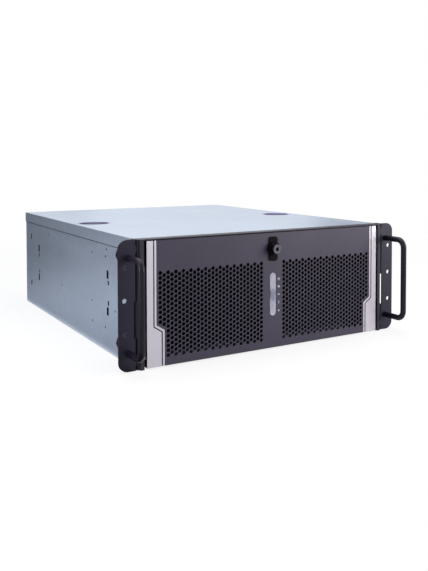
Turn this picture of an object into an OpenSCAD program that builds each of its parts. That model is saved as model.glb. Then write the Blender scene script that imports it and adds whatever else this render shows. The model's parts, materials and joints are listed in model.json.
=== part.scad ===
// Four-unit rackmount graphics server: folded steel chassis with a lift-off cover,
// drop-down honeycomb door, rack ears with rod handles, fans, drives, main board,
// accelerator cards and power supply.
// X runs to the right seen from the front, Y to the rear, Z up. The origin is the
// centre of the chassis floor's underside.

/* [Rack panel] */
// Width over both rack ears
panel_w = 482.6; // [476:0.1:490]
// Height of the ears, four rack units less their clearance
panel_h = 176.5; // [172:0.5:180]
// Thickness of the ears' sheet
ear_t = 2.5; // [2:0.1:3]
// Radius of the ears' outer corners
ear_corner_r = 13; // [6:0.5:16]
// Outer radius of the bend between an ear's face and its side flange
ear_bend_r = 4; // [3:0.5:5]
// Distance from the ears' faces back to the end of their tabs
ear_tab_reach = 69; // [60:1:80]
// Distance across the server between the mounting holes
ear_hole_span = 465.1; // [463:0.1:467]
// Distance between neighbouring mounting holes in an ear
ear_hole_pitch = 44.45; // [40:0.05:48]
// Diameter of the mounting holes
ear_hole_d = 6.8; // [5.5:0.1:7.5]
// Height of the relief slot beside the bend
ear_slot_h = 50; // [30:1:60]

/* [Handles] */
// Diameter of the handle rods
handle_rod_d = 9; // [8:0.5:10]
// Distance between the two legs of a handle
handle_leg_pitch = 127.5; // [116:0.5:134]
// Distance from the ear's face to the middle of the grip
handle_reach = 43; // [36:1:50]
// Radius of the handle's bends, at the rod's middle
handle_bend_r = 13; // [9:1:18]
// Distance across the server between the handles
handle_span = 453; // [451:0.5:455]

/* [Chassis] */
// Width of the chassis body
body_w = 430; // [428:0.5:434]
// How far the top cover lies below the ears' upper ends
cover_drop = 0.5; // [0:0.1:1]
// Depth from the ears' faces to the rear edge of the cover
chassis_depth = 560; // [540:5:700]
// Distance from the ears' faces back to the cover and the chassis sides
body_setback = 14; // [13:0.5:17]
// Thickness of the galvanised sheet
sheet_t = 1.2; // [1:0.1:1.5]
// Width of the lips that the cover rests on
lip_w = 12; // [8:1:16]
// Height of the side rail's slot groups above the floor
rail_z = 87; // [80:1:95]

/* [Top cover] */
// Thickness of the cover's sheet
cover_t = 0.8; // [0.8:0.1:1.2]
// Height of the cover's side flanges
cover_flange_h = 17.5; // [12:0.5:17.5]
// Diameter of the round thumb dents
dent_d = 50; // [36:1:60]
// Depth of the thumb dents
dent_depth = 2.4; // [1:0.1:3]
// Distance from the ears' faces back to the thumb dents
dent_y = 260; // [150:5:300]
// Distance across the cover between the thumb dents
dent_span = 363; // [300:1:368]

/* [Front frame] */
// How far the door and its posts stand in front of the ears' faces
face_proud = 3.5; // [2.5:0.1:4.5]
// Width of each front post
post_w = 9; // [7:0.5:10]
// How far the posts step in where they stand proud of the ears
post_step = 3; // [1:0.5:4]
// Thickness of the frame's sheet
frame_t = 1.5; // [1.2:0.1:2]

/* [Door] */
// Gap between the door and each post
door_side_gap = 3.6; // [2:0.1:4.5]
// Gap under the door
door_bottom_gap = 1.5; // [1.2:0.1:2.5]
// Gap over the door, under the top rail
door_top_gap = 1; // [0.8:0.1:2]
// Thickness of the honeycomb sheet and of the trims
panel_t = 1.5; // [1:0.1:1.8]
// Thickness of the tray that carries them
carrier_t = 1.2; // [1:0.1:1.5]
// Depth of the door from its face to the edge of its flanges
door_depth = 11; // [9:0.5:12]
// Height of the hinge pins above the floor
hinge_z = 14; // [14:0.5:18]
// Distance from the door's face back to the hinge pins
hinge_back = 6; // [5.5:0.1:6]
// Diameter of the hinge pins
hinge_pin_d = 4; // [3:0.1:4]
// Running clearance around the pins and shafts
running_gap = 0.05; // [0.02:0.01:0.1]
// How far the door drops open
door_open = 90; // [60:1:90]

/* [Honeycomb] */
// Size of a hexagonal hole across its flats
hex_flats = 5.7; // [4:0.1:5.7]
// Distance between neighbouring holes in a column
hex_pitch = 6.7; // [6.6:0.05:7]
// Columns in each of the two fields
hex_cols = 29; // [10:1:29]
// Holes in a full column
hex_rows = 18; // [8:1:18]
// Holes kept in the two outermost columns, beside the trim's step
hex_short_rows = 11; // [4:1:11]
// Distance from the door's middle to the first column
hex_first_x = 20; // [18:0.5:22]
// Height of the lowest holes above the floor
hex_first_z = 15; // [14:0.5:18]

/* [Silver trims] */
// Width of the broad band at its upper part
band_w = 9.4; // [6:0.1:11]
// How much broader the band is below the step
step_w = 12; // [8:0.5:14]
// Height of the sloped step
step_h = 8; // [5:0.5:12]
// Height of the step's top above the floor
step_z = 56; // [50:1:62]
// Dark gap between the band and the thin strip
strip_gap = 1.6; // [1:0.1:2.5]
// Width of the thin strip
strip_w = 3; // [2:0.1:4]

/* [Lock and lights] */
// Distance from the top of the cover down to the lock
lock_drop = 26; // [24:0.5:29]
// Diameter of the lock's barrel
barrel_d = 14; // [12:0.5:16]
// How far the barrel stands out of the door
barrel_proud = 12.5; // [8:0.5:16]
// Diameter of the turning plug inside the barrel
plug_d = 10; // [8:0.5:10.5]
// Diameter of the keyhole
keyhole_d = 5.5; // [4.5:0.5:6]
// Width of the black plate around the lock
plate_w = 14.5; // [12:0.5:18]
// Height of the black plate around the lock
plate_h = 36; // [28:1:38]
// Diameter of the plate's round boss
boss_d = 20; // [18:0.5:24]
// Width of the light bar
light_w = 10.2; // [6:0.2:14]
// Height of the light bar
light_h = 64.4; // [40:0.2:70]
// Height of the light bar's middle above the floor
light_z = 81.6; // [75:0.2:90]

/* [Fans] */
// Height kept free over and under the front fans
fan_headroom = 56; // [56:1:76]
// Depth of the front fans
fan_depth = 38; // [25:1:38]
// Gap between neighbouring front fans
fan_gap = 6; // [4:1:12]
// Height of the front fans' lower edges above the floor
fan_foot = 12; // [8:1:12]
// Size of the rear fans
rear_fan_size = 80; // [60:1:80]
// Depth of the rear fans
rear_fan_depth = 25; // [20:1:25]
// Gap between a fan's blades and its housing
tip_gap = 1.5; // [1:0.1:2]

/* [Inside] */
// Setback of the inner front wall behind the ears' faces
wall_setback = 18; // [17.5:0.5:20]
// Height of the main board above the floor plate
standoff_h = 6.5; // [5:0.5:8]
// Width of the main board
board_w = 305; // [290:1:305]
// Length of the main board
board_l = 244; // [230:1:260]
// Length of the accelerator cards
card_l = 267; // [240:1:280]
// Height of the accelerator cards above the main board
card_h = 111; // [98:1:114]
// Thickness of an accelerator card with its shroud
card_w = 37; // [34:0.5:38]
// Distance between expansion slots
slot_pitch = 20.32; // [20:0.01:20.5]
// Width of the power supply
psu_w = 86; // [80:1:86]
// Height of the power supply, which stands on its side
psu_h = 150; // [140:1:152]
// Length of the power supply
psu_l = 160; // [140:1:180]

/* [Hidden] */
$fn = 48;
y_front = -chassis_depth / 2;
y_back = chassis_depth / 2;
body_x = body_w / 2;
body_h = panel_h - cover_drop;
y_face = y_front - face_proud;
y_body = y_front + body_setback;
joint_gap = 0.3;
fold_gap = 0.2;
y_rear_panel = y_back - cover_t - fold_gap;
y_inner_rear = y_rear_panel - sheet_t;
wall_top = body_h - cover_t - fold_gap;
handle_mid_z = panel_h / 2;
// The tabs' screws stand just below the handles' legs
tab_heights = [
  handle_mid_z - handle_leg_pitch / 2 - 0.5,
  handle_mid_z + handle_leg_pitch / 2 - 3.5
];
tab_r = 8.5;
tab_screw_y = ear_tab_reach - tab_r;
ear_side_end = body_setback - 0.5;
ear_slot_z = 68;
ears_mid_z = 95.25;
front_rail_y = 106.5;
rear_rail_y = 94;
rear_slot_y = 38;
// Small holes in each side: distance from the ears' faces, height
front_side_holes = [[114, 151], [118, 140], [119, 35], [80, 65], [176, 140], [178, 65], [176, 34]];
// Small holes in each side: distance from the rear edge, height
rear_side_holes = [[29, 65], [156, 146], [232, 66]];
screw_x = [-body_x * 0.8, body_x * 0.08, body_x * 0.8];
cover_screw_z = body_h - 9;
shaft_d = 3;
door_x = body_x - post_w - door_side_gap;
door_z0 = door_bottom_gap;
door_z1 = body_h - frame_t - door_top_gap;
y_carrier = y_face + panel_t;
y_plate_back = y_carrier + carrier_t;
y_door_back = y_face + door_depth;
y_hinge = y_face + hinge_back;
hinge_block_w = 12;
hinge_block_top = hinge_z + 6;
hex_r = hex_flats / sqrt(3);
hex_col_pitch = hex_pitch * sqrt(3) / 2;
hex_flat_d = 2 * hex_r;
band_x = door_x - band_w;
slope = tan(atan2(step_w, step_h) / 2);
y_wall = y_front + wall_setback;
y_fans = y_wall + sheet_t;
// The fans fill the height, or else the width between the sides
fan_size = min(body_h - fan_headroom, (body_w - 14) / 3 - fan_gap);
fan_pitch = fan_size + fan_gap;
fan_z = fan_foot + fan_size / 2;
fan_hole_share = 0.875;
lock_z = body_h - lock_drop;
boss_h = 6;
plate_t = 2;
cam_t = 2;
y_cam = y_door_back + 3;
strike_y = y_door_back + 0.8;
board_z = sheet_t + standoff_h;
board_t = 1.6;
board_x1 = body_x - sheet_t - psu_w - 12;
board_x0 = board_x1 - board_w;
board_y1 = y_inner_rear - 2;
slot1_x = board_x0 + 17 + 6 * slot_pitch;
socket_h = 11;
io_w = 158.7;
io_h = 44.4;
io_x0 = board_x1 - 6 - io_w;
io_z = board_z + board_t - 2;
// Blocks behind the shield: distance from its left edge, width, height
connector_places = [[8, 16, 30], [32, 16, 30], [56, 16, 30], [84, 17, 17], [110, 32, 13]];
socket_depth = 9;
socket_level_h = 15;
slot_opening_z0 = board_z + board_t + 2;
slot_opening_h = 106;
upper_vent_z = (slot_opening_z0 + slot_opening_h + wall_top) / 2;
psu_x1 = body_x - sheet_t - 3;
psu_x0 = psu_x1 - psu_w;
psu_y0 = y_inner_rear - psu_l;
psu_fan_d = 112;
psu_fan_pocket = 27;
psu_fan_y = psu_y0 + psu_l / 2 - 6;
psu_fan_z = sheet_t + psu_h / 2;
inlet_x = psu_x0 + 30;
inlet_z = sheet_t + 28;
inlet_depth = 15;
switch_offset = 30;
rear_fan_x = [psu_x0 - 6 - rear_fan_size * 1.5 - 2, psu_x0 - 6 - rear_fan_size / 2];
rear_fan_z = io_z + io_h + 8 + rear_fan_size / 2;
button_z = body_h - 21;
power_x = 60;
reset_x = 80;
button_d = 12;
reset_d = 7;
button_travel = 2;
board_gap = 10;
cage_z = fan_z + fan_size / 2 + 2;
cage_x0 = -body_x + 10;
drive_w = 101.6;
drive_h = 26.1;
drive_l = 147;
cage_l = drive_l + 10;
cage_w = 2 * drive_w + 8;
cooler_x = board_x1 - 62;
cooler_y = board_y1 - 108;
cooler_w = 96;
cooler_d = 52;
cooler_top = 146;
cooler_fan = 92;
cooler_fan_depth = 25;
memory_x = cooler_x - cooler_w / 2 - 8;
memory_pitch = 9;
memory_l = 133.4;
memory_socket_h = 7;
slot_l = 89;
slot_inset = 53;
slot_y0 = board_y1 - slot_inset - slot_l;
chipset_w = 38;
chipset_h = 12;
chipset_x = slot1_x - 3 * slot_pitch + 1;
card_z0 = board_z + board_t + socket_h + 1;
card_z1 = board_z + board_t + card_h;
card_y1 = y_inner_rear - 3;

galvanised = "#9aa3ad";
charcoal = "#45434b";
ear_black = "#2b2a2e";
silver = "#c3c1c8";
steel = "#b7bbc0";
plastic_black = "#1c1c1f";
board_green = "#1f4a35";

// Helpers

// A block given by two opposite corners
module block(low, high) {
  translate(low) cube(high - low);
}

// Extrudes an X-Z outline along Y
module along_y(y0, y1) {
  translate([0, y1, 0]) rotate([90, 0, 0]) linear_extrude(y1 - y0) children();
}

// Extrudes a Y-Z outline along X
module along_x(x0, x1) {
  translate([x0, 0, 0]) rotate([90, 0, 90]) linear_extrude(x1 - x0) children();
}

// A round rod along Y
module rod_y(d, y0, y1) {
  translate([0, y0, 0]) rotate([-90, 0, 0]) cylinder(d = d, h = y1 - y0);
}

// A round rod along X
module rod_x(d, x0, x1) {
  translate([x0, 0, 0]) rotate([0, 90, 0]) cylinder(d = d, h = x1 - x0);
}

module both_sides() {
  children();
  mirror([1, 0, 0]) children();
}

module rounded_square(w, h, r) {
  square([w - 2 * r, h], center = true);
  square([w, h - 2 * r], center = true);
  for (x = [-1, 1], z = [-1, 1])
    translate([x * (w / 2 - r), z * (h / 2 - r)]) circle(r);
}

// Points of an upright slot with round ends, drawn with flat facets
function pill_points(w, h) = concat(
  [for (a = [0:22.5:180]) [w / 2 * cos(a), h / 2 - w / 2 + w / 2 * sin(a)]],
  [for (a = [180:22.5:360]) [w / 2 * cos(a), w / 2 - h / 2 + w / 2 * sin(a)]]
);

module pill(w, h) {
  polygon(pill_points(w, h));
}

// Chassis

module rail_slots(y, z_side) {
  // One wide and one narrow slot of a rail mounting group
  translate([y + 3, rail_z + z_side * 27]) square([7.5, 12], center = true);
  translate([y, rail_z + z_side * 15]) square([5, 6.6], center = true);
}

module side_wall() {
  along_x(body_x - sheet_t, body_x) difference() {
    translate([y_body, 0]) square([y_rear_panel - y_body, wall_top]);
    for (z_side = [-1, 1]) {
      rail_slots(y_front + front_rail_y, z_side);
      rail_slots(y_back - rear_rail_y, z_side);
      translate([y_back - rear_slot_y, rail_z + z_side * 45]) square([6, 10], center = true);
    }
    for (p = front_side_holes) translate([y_front + p[0], p[1]]) circle(d = 3.4, $fn = 24);
    for (p = rear_side_holes) translate([y_back - p[0], p[1]]) circle(d = 3.4, $fn = 24);
    for (z = tab_heights) translate([y_front + tab_screw_y, z]) circle(d = 4.4, $fn = 24);
  }
}

module chassis_tray() {
  color(galvanised) {
    block([-body_x, y_body, 0], [body_x, y_rear_panel, sheet_t]);
    both_sides() {
      side_wall();
      difference() {
        block([body_x - lip_w, y_body, wall_top - sheet_t], [body_x - 0.1, y_rear_panel, wall_top]);
        translate([dent_span / 2, y_front + dent_y, wall_top - sheet_t - 1])
          cylinder(d = dent_d + 3, h = sheet_t + 2);
      }
    }
  }
}

// Rack ears and handles

module ear_face() {
  // Face of the right ear, from the bend outwards
  x0 = body_x + ear_bend_r;
  x1 = panel_w / 2;
  difference() {
    union() {
      translate([x0, 0]) square([x1 - ear_corner_r - x0, panel_h]);
      translate([x0, ear_corner_r]) square([x1 - x0, panel_h - 2 * ear_corner_r]);
      for (z = [ear_corner_r, panel_h - ear_corner_r])
        translate([x1 - ear_corner_r, z]) circle(ear_corner_r);
    }
    for (i = [-1:1])
      translate([ear_hole_span / 2, ears_mid_z + i * ear_hole_pitch]) circle(d = ear_hole_d);
    for (i = [-1, 1])
      translate([handle_span / 2, handle_mid_z + i * handle_leg_pitch / 2]) circle(d = 4.4);
  }
}

module ear_side() {
  // Side flange with its two tabs, in the Y-Z plane
  strip_y = y_front + ear_side_end;
  translate([y_front + ear_bend_r, 0]) square([ear_side_end - ear_bend_r, panel_h]);
  for (i = [0, 1]) {
    z = tab_heights[i];
    inward = 1 - 2 * i;
    translate([y_front + tab_screw_y, z]) circle(tab_r);
    polygon([
      [y_front + tab_screw_y, z - tab_r * inward], [strip_y - 1, z - tab_r * inward],
      [strip_y - 1, z + (tab_r + 16) * inward], [y_front + 44, z + (tab_r + 12) * inward],
      [y_front + tab_screw_y, z + tab_r * inward]
    ]);
  }
}

module ear() {
  difference() {
    union() {
      along_y(y_front, y_front + ear_t) ear_face();
      along_x(body_x, body_x + ear_t) ear_side();
      translate([body_x + ear_bend_r, y_front + ear_bend_r, 0]) intersection() {
        difference() {
          cylinder(r = ear_bend_r, h = panel_h);
          translate([0, 0, -1]) cylinder(r = ear_bend_r - ear_t, h = panel_h + 2);
        }
        translate([-ear_bend_r - 1, -ear_bend_r - 1, 0])
          cube([ear_bend_r + 1, ear_bend_r + 1, panel_h]);
      }
    }
    block([body_x - 1, y_front - 1, ear_slot_z - ear_slot_h / 2],
      [body_x + ear_bend_r + 0.6, y_front + ear_bend_r + 2, ear_slot_z + ear_slot_h / 2]);
    for (z = tab_heights)
      translate([0, y_front + tab_screw_y, z]) rod_x(4.4, body_x - 1, body_x + ear_t + 1);
  }
}

module ear_right() {
  color(ear_black) ear();
}

module ear_left() {
  color(ear_black) mirror([1, 0, 0]) ear();
}

module handle() {
  r = handle_bend_r;
  half = handle_leg_pitch / 2;
  y_grip = y_front - handle_reach;
  color(plastic_black) translate([handle_span / 2, 0, handle_mid_z]) difference() {
    union() {
      translate([0, y_grip, r - half]) cylinder(d = handle_rod_d, h = 2 * (half - r));
      for (i = [-1, 1]) translate([0, 0, i * half]) {
        rod_y(handle_rod_d, y_grip + r, y_front);
        translate([0, y_grip + r, -i * r]) rotate([0, -90, 0]) rotate([0, 0, i > 0 ? 270 : 180])
          rotate_extrude(angle = 90) translate([r, 0]) circle(d = handle_rod_d);
      }
    }
    for (i = [-1, 1]) translate([0, 0, i * half]) rod_y(4.1, y_front - 12, y_front + 1);
  }
}

module handle_right() {
  handle();
}

module handle_left() {
  mirror([1, 0, 0]) handle();
}

module pan_screw(d, head_d, head_h, length) {
  // Screw along +Z with its head below z = 0 and a cross recess
  cylinder(d = d, h = length);
  translate([0, 0, -head_h]) difference() {
    cylinder(d = head_d, h = head_h);
    for (a = [0, 90]) rotate([0, 0, a]) translate([-head_d * 0.3, -0.5, -1])
      cube([head_d * 0.6, 1, head_h * 0.4 + 1]);
  }
}

module ear_screws() {
  color(plastic_black) both_sides() {
    for (z = tab_heights) translate([body_x + ear_t, y_front + tab_screw_y, z])
      rotate([0, -90, 0]) pan_screw(4, 8, 2.4, ear_t + sheet_t + 3);
    for (i = [-1, 1])
      translate([handle_span / 2, y_front + ear_t, handle_mid_z + i * handle_leg_pitch / 2])
        rotate([90, 0, 0]) pan_screw(4, 8, 2.4, 10);
  }
}

// Front frame and inner wall

module front_frame() {
  y_end = y_body - joint_gap;
  x_in = body_x - post_w;
  x_step = body_x - post_step;
  rail_z0 = body_h - frame_t;
  color(charcoal) difference() {
    union() {
      both_sides() {
        // The posts step in where they stand proud of the ears
        block([x_in, y_face, 0], [x_step, y_face + frame_t, rail_z0 + 0.1]);
        block([x_step - frame_t, y_face, 0], [x_step, y_front + frame_t, rail_z0 + 0.1]);
        block([x_step - frame_t, y_front, 0], [body_x, y_front + frame_t, rail_z0 + 0.1]);
        block([body_x - frame_t, y_front, 0], [body_x, y_end, rail_z0 + 0.1]);
        block([x_in, y_face, 0], [x_in + frame_t, y_end, rail_z0 + 0.1]);
        block([x_in, y_end - frame_t, 0], [body_x, y_end, rail_z0 + 0.1]);
      }
      block([-x_step, y_face, rail_z0], [x_step, y_end, body_h]);
      block([-body_x, y_front, rail_z0], [body_x, y_end, body_h]);
      block([-x_in - 1, y_front + 9.8, 0], [x_in + 1, y_end, sheet_t]);
      // Strike lip that the lock's cam turns behind
      block([-30, strike_y, lock_z + 10], [12, strike_y + frame_t, rail_z0 + 0.1]);
    }
    both_sides() translate([0, y_hinge, hinge_z])
      rod_x(hinge_pin_d + 2 * running_gap, x_in - 1, x_in + frame_t + 1);
  }
}

module hinge_pins() {
  x_in = body_x - post_w;
  color(steel) both_sides() translate([0, y_hinge, hinge_z]) {
    rod_x(hinge_pin_d, door_x - hinge_block_w + 1, x_in + frame_t + 0.5);
    rod_x(hinge_pin_d + 3, x_in + frame_t, x_in + frame_t + 2);
  }
}

module fan_holes(size, bore, hole_pitch) {
  circle(d = bore);
  for (x = [-1, 1], z = [-1, 1])
    translate([x * hole_pitch / 2, z * hole_pitch / 2]) circle(d = 4.3, $fn = 24);
}

module front_panel() {
  x1 = body_x - sheet_t;
  z0 = sheet_t;
  z1 = wall_top - sheet_t;
  flange = 12;
  color(charcoal) {
    along_y(y_wall, y_fans) difference() {
      translate([-x1, z0]) square([2 * x1, z1 - z0]);
      for (i = [-1:1]) translate([i * fan_pitch, fan_z])
        fan_holes(fan_size, fan_size - 4, fan_size * fan_hole_share);
      translate([power_x, button_z]) circle(d = button_d + 0.6);
      translate([reset_x, button_z]) circle(d = reset_d + 0.6);
      for (i = [0:6]) translate([104 + i * 8, button_z - 8]) square([4, 16]);
    }
    both_sides() block([x1 - sheet_t, y_wall, z0], [x1, y_wall + flange, z1]);
    block([-x1, y_wall, z0], [x1, y_wall + flange, z0 + sheet_t]);
  }
}

// Door

// Points down one edge of the silver trim, set inwards by some distance
function step_edge(inset) = [
  [band_x - inset, door_z1],
  [band_x - inset, step_z + inset * slope],
  [band_x - inset - step_w, step_z - step_h + inset * slope],
  [band_x - inset - step_w, door_z0]
];
function reversed(points) = [for (i = [len(points) - 1:-1:0]) points[i]];
function mirrored(points) = [for (p = points) [-p[0], p[1]]];

module hex_field() {
  for (c = [0:hex_cols - 1]) {
    full = hex_rows - c % 2;
    kept = c < hex_cols - 2 ? full : hex_short_rows;
    for (r = [full - kept:full - 1])
      translate([hex_first_x + c * hex_col_pitch, hex_first_z + (r + (c % 2) / 2) * hex_pitch])
        circle(d = hex_flat_d, $fn = 6);
  }
}

module door_panel() {
  edge = step_edge(strip_gap + strip_w);
  color(charcoal) along_y(y_face, y_carrier) difference() {
    polygon(concat(edge, mirrored(reversed(edge))));
    hex_field();
    mirror([1, 0]) hex_field();
    translate([0, light_z]) pill(light_w + 0.4, light_h + 0.4);
    translate([0, lock_z]) circle(d = barrel_d + 1.5, $fn = 12);
  }
}

module window() {
  // Opening behind one honeycomb field, stepped like the trim
  x0 = hex_first_x - 6;
  z0 = hex_first_z - 5;
  z1 = hex_first_z + (hex_rows - 0.5) * hex_pitch + 2;
  edge = step_edge(strip_gap + strip_w - 1);
  polygon([[x0, z1], [edge[1][0], z1], edge[1], edge[2], [edge[2][0], z0], [x0, z0]]);
}

module door_frame() {
  color(plastic_black) {
    along_y(y_carrier, y_plate_back) difference() {
      translate([-door_x, door_z0]) square([2 * door_x, door_z1 - door_z0]);
      window();
      mirror([1, 0]) window();
      translate([0, light_z]) pill(light_w + 0.4, light_h + 0.4);
      translate([0, lock_z]) circle(d = barrel_d + 0.4);
    }
    block([-door_x, y_carrier, door_z1 - carrier_t], [door_x, y_door_back, door_z1]);
    block([-door_x, y_carrier, door_z0], [door_x, y_door_back, door_z0 + carrier_t]);
    both_sides() block([door_x - carrier_t, y_carrier, hinge_block_top + 0.2],
      [door_x, y_door_back, door_z1]);
    // Posts that carry the light board
    for (i = [-1, 1]) translate([0, 0, light_z + i * (light_h / 2 + 5)])
      rod_y(5, y_carrier + 0.2, y_door_back - 3.4);
  }
}

module door_trim() {
  color(silver) along_y(y_face, y_carrier)
    polygon(concat(step_edge(0), [[door_x, door_z0], [door_x, door_z1]]));
}

module door_trim_right() {
  door_trim();
}

module door_trim_left() {
  mirror([1, 0, 0]) door_trim();
}

module door_strips() {
  color(silver) both_sides() along_y(y_face, y_carrier)
    polygon(concat(step_edge(strip_gap), reversed(step_edge(strip_gap + strip_w))));
}

module door_hinge_blocks() {
  color(plastic_black) both_sides() difference() {
    block([door_x - hinge_block_w, y_plate_back, door_z0 + carrier_t],
      [door_x, y_door_back, hinge_block_top]);
    translate([0, y_hinge, hinge_z])
      rod_x(hinge_pin_d + 2 * running_gap, door_x - hinge_block_w - 1, door_x + 1);
  }
}

module door_filter() {
  // Foam filter pads in their slots behind the honeycomb fields
  color("#111113") both_sides()
    block([hex_first_x - 8, y_plate_back + 0.2, hinge_block_top + 0.5],
      [door_x - hinge_block_w - 2, y_door_back - 1,
       hex_first_z + hex_rows * hex_pitch + 3]);
}

module light_bar_lens() {
  color("#dfe4ee") {
    along_y(y_face - 0.4, y_plate_back + 1) translate([0, light_z]) pill(light_w, light_h);
    along_y(y_plate_back, y_plate_back + 1) translate([0, light_z])
      pill(light_w + 3, light_h + 3);
  }
}

module light_board() {
  y0 = y_door_back - 3.4;
  color(board_green) {
    difference() {
      block([-7, y0, light_z - light_h / 2 - 9], [7, y0 + board_t, light_z + light_h / 2 + 9]);
      for (i = [-1, 1]) translate([0, 0, light_z + i * (light_h / 2 + 5)])
        rod_y(2.2, y0 - 1, y0 + board_t + 1);
    }
    for (i = [-2:2])
      block([-1.5, y0 - 1, light_z + i * 12 - 1.5], [1.5, y0 + 0.1, light_z + i * 12 + 1.5]);
  }
}

// Lock

module lock_plate() {
  color(plastic_black) difference() {
    union() {
      along_y(y_face - plate_t, y_face) translate([0, lock_z]) rounded_square(plate_w, plate_h, 4);
      translate([0, 0, lock_z]) rod_y(boss_d, y_face - boss_h, y_face);
    }
    translate([0, 0, lock_z]) rod_y(barrel_d + 0.2, y_face - boss_h - 1, y_face + 1);
  }
}

module lock_barrel() {
  y0 = y_face - barrel_proud;
  nut_h = 4;
  color(steel) translate([0, 0, lock_z]) {
    difference() {
      rod_y(barrel_d, y0, y_cam - 0.5);
      rod_y(plug_d + 2 * running_gap, y0 - 1, y_cam);
    }
    difference() {
      translate([0, y_plate_back, 0]) rotate([-90, 0, 0]) cylinder(d = 22, h = nut_h, $fn = 6);
      rod_y(barrel_d + 0.1, y_plate_back - 1, y_plate_back + nut_h + 1);
    }
  }
}

module lock_plug() {
  y0 = y_face - barrel_proud + 0.3;
  tail = 6;
  color(steel) translate([0, 0, lock_z]) difference() {
    union() {
      rod_y(plug_d, y0, y_cam - 0.2);
      block([-tail / 2, y_cam - 0.3, -tail / 2], [tail / 2, y_cam + cam_t + 0.8, tail / 2]);
    }
    rod_y(keyhole_d, y0 - 1, y0 + 8);
    block([-0.8, y0 - 1, 0], [0.8, y0 + 8, keyhole_d / 2 + 1.2]);
  }
}

module lock_cam() {
  // Flat cam, unlocked: it points to the left and turns up behind the strike lip
  cam_w = 12;
  reach = 17;
  color(steel) along_y(y_cam, y_cam + cam_t) translate([0, lock_z]) difference() {
    union() {
      circle(d = cam_w);
      translate([-reach, 0]) circle(d = cam_w);
      translate([-reach, -cam_w / 2]) square([reach, cam_w]);
    }
    square(6.2, center = true);
  }
}

// Top cover

module top_cover() {
  x1 = body_x + fold_gap + cover_t;
  y1 = y_back;
  dents = [for (s = [-1, 1]) [s * dent_span / 2, y_front + dent_y]];
  color("#dfe5ee") {
    translate([0, 0, body_h - cover_t]) linear_extrude(cover_t) difference() {
      translate([-x1, y_body]) square([2 * x1, y1 - y_body]);
      for (p = dents) translate(p) circle(d = dent_d);
    }
    for (p = dents) translate([p[0], p[1], body_h - dent_depth])
      rotate_extrude() polygon([
        [0, -cover_t], [dent_d / 2 - 2.2, -cover_t], [dent_d / 2, dent_depth - cover_t],
        [dent_d / 2 + 0.3, dent_depth - cover_t], [dent_d / 2 + 0.3, dent_depth],
        [dent_d / 2 - 0.6, dent_depth], [dent_d / 2 - 2.8, 0], [0, 0]
      ]);
    both_sides() block([x1 - cover_t, y_body, body_h - cover_flange_h], [x1, y1, body_h]);
    difference() {
      block([-x1, y1 - cover_t, body_h - cover_flange_h], [x1, y1, body_h]);
      for (x = screw_x) translate([x, 0, cover_screw_z]) rod_y(3.8, y1 - 2, y1 + 1);
    }
  }
}

module cover_screws() {
  // Thumbscrews held captive in the rear flange
  color(steel) for (x = screw_x) translate([x, 0, cover_screw_z]) {
    rod_y(3.6, y_inner_rear, y_back + 0.1);
    difference() {
      rod_y(10, y_back, y_back + 7);
      translate([0, y_back + 5.5, 0]) block([-5.1, 0, -0.6], [5.1, 2, 0.6]);
    }
  }
}

// Fans

module fan_frame(size, depth) {
  // Intake at z = 0, struts and motor mount at z = depth
  bore = size - 4;
  rim = 4;
  hub = size * 0.38;
  difference() {
    union() {
      for (z = [0, depth - rim]) translate([0, 0, z]) linear_extrude(rim) difference() {
        rounded_square(size, size, size * 0.06);
        fan_holes(size, bore, size * fan_hole_share);
      }
      difference() {
        cylinder(d = size - 0.6, h = depth);
        translate([0, 0, -1]) cylinder(d = bore, h = depth + 2);
      }
      translate([0, 0, depth - 3]) cylinder(d = hub, h = 3);
      for (a = [45:90:315]) rotate([0, 0, a])
        translate([hub / 2 - 1, -1.5, depth - 3]) cube([(bore - hub) / 2 + 2, 3, 3]);
      cylinder_z0 = depth * 0.35;
      translate([0, 0, cylinder_z0]) cylinder(d = hub * 0.3, h = depth - cylinder_z0);
    }
    translate([0, 0, depth * 0.3]) cylinder(d = shaft_d + 2 * running_gap, h = depth * 0.6);
  }
}

module fan_rotor(size, depth, blades) {
  bore = size - 4;
  hub = size * 0.38;
  top = depth - 4.2;
  span = bore / 2 - tip_gap;
  chord = (top - 1.5) / sin(48);
  difference() {
    union() {
      cylinder(d = hub, h = top);
      intersection() {
        translate([0, 0, 0.6]) cylinder(r = span, h = top - 0.6);
        for (a = [0:360 / blades:359]) rotate([0, 0, a])
          translate([hub / 2 - 1, 0, top / 2 + 0.3]) rotate([48, 0, 0])
            translate([0, -chord / 2, -0.9]) cube([span, chord, 1.8]);
      }
    }
    translate([0, 0, 2]) cylinder(d = hub - 4, h = top);
  }
  translate([0, 0, 1]) cylinder(d = shaft_d, h = depth * 0.7);
}

module at_front_fan(i) {
  translate([(i - 2) * fan_pitch, y_fans, fan_z]) rotate([-90, 0, 0]) children();
}

module at_rear_fan(i) {
  translate([rear_fan_x[i - 1], y_inner_rear - rear_fan_depth, rear_fan_z])
    rotate([-90, 0, 0]) children();
}

module front_fan_frame(i) {
  color(plastic_black) at_front_fan(i) fan_frame(fan_size, fan_depth);
}

module front_fan_rotor(i) {
  color("#303236") at_front_fan(i) fan_rotor(fan_size, fan_depth, 7);
}

module rear_fan_frames() {
  color(plastic_black) for (i = [1, 2]) at_rear_fan(i) fan_frame(rear_fan_size, rear_fan_depth);
}

module rear_fan_rotor(i) {
  color("#303236") at_rear_fan(i) fan_rotor(rear_fan_size, rear_fan_depth, 7);
}

// Rear panel

module hex_vent(w, h, flats, web) {
  // Hexagonal holes that fill a rectangle standing on its lower edge's middle
  pitch = flats + web;
  step = pitch * sqrt(3) / 2;
  cols = floor((w - flats) / step);
  rows = floor((h - flats) / pitch);
  for (c = [0:cols], r = [0:rows - c % 2])
    translate([(c - cols / 2) * step, (r - rows / 2 + (c % 2) / 2) * pitch])
      circle(d = 2 * flats / sqrt(3), $fn = 6);
}

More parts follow.
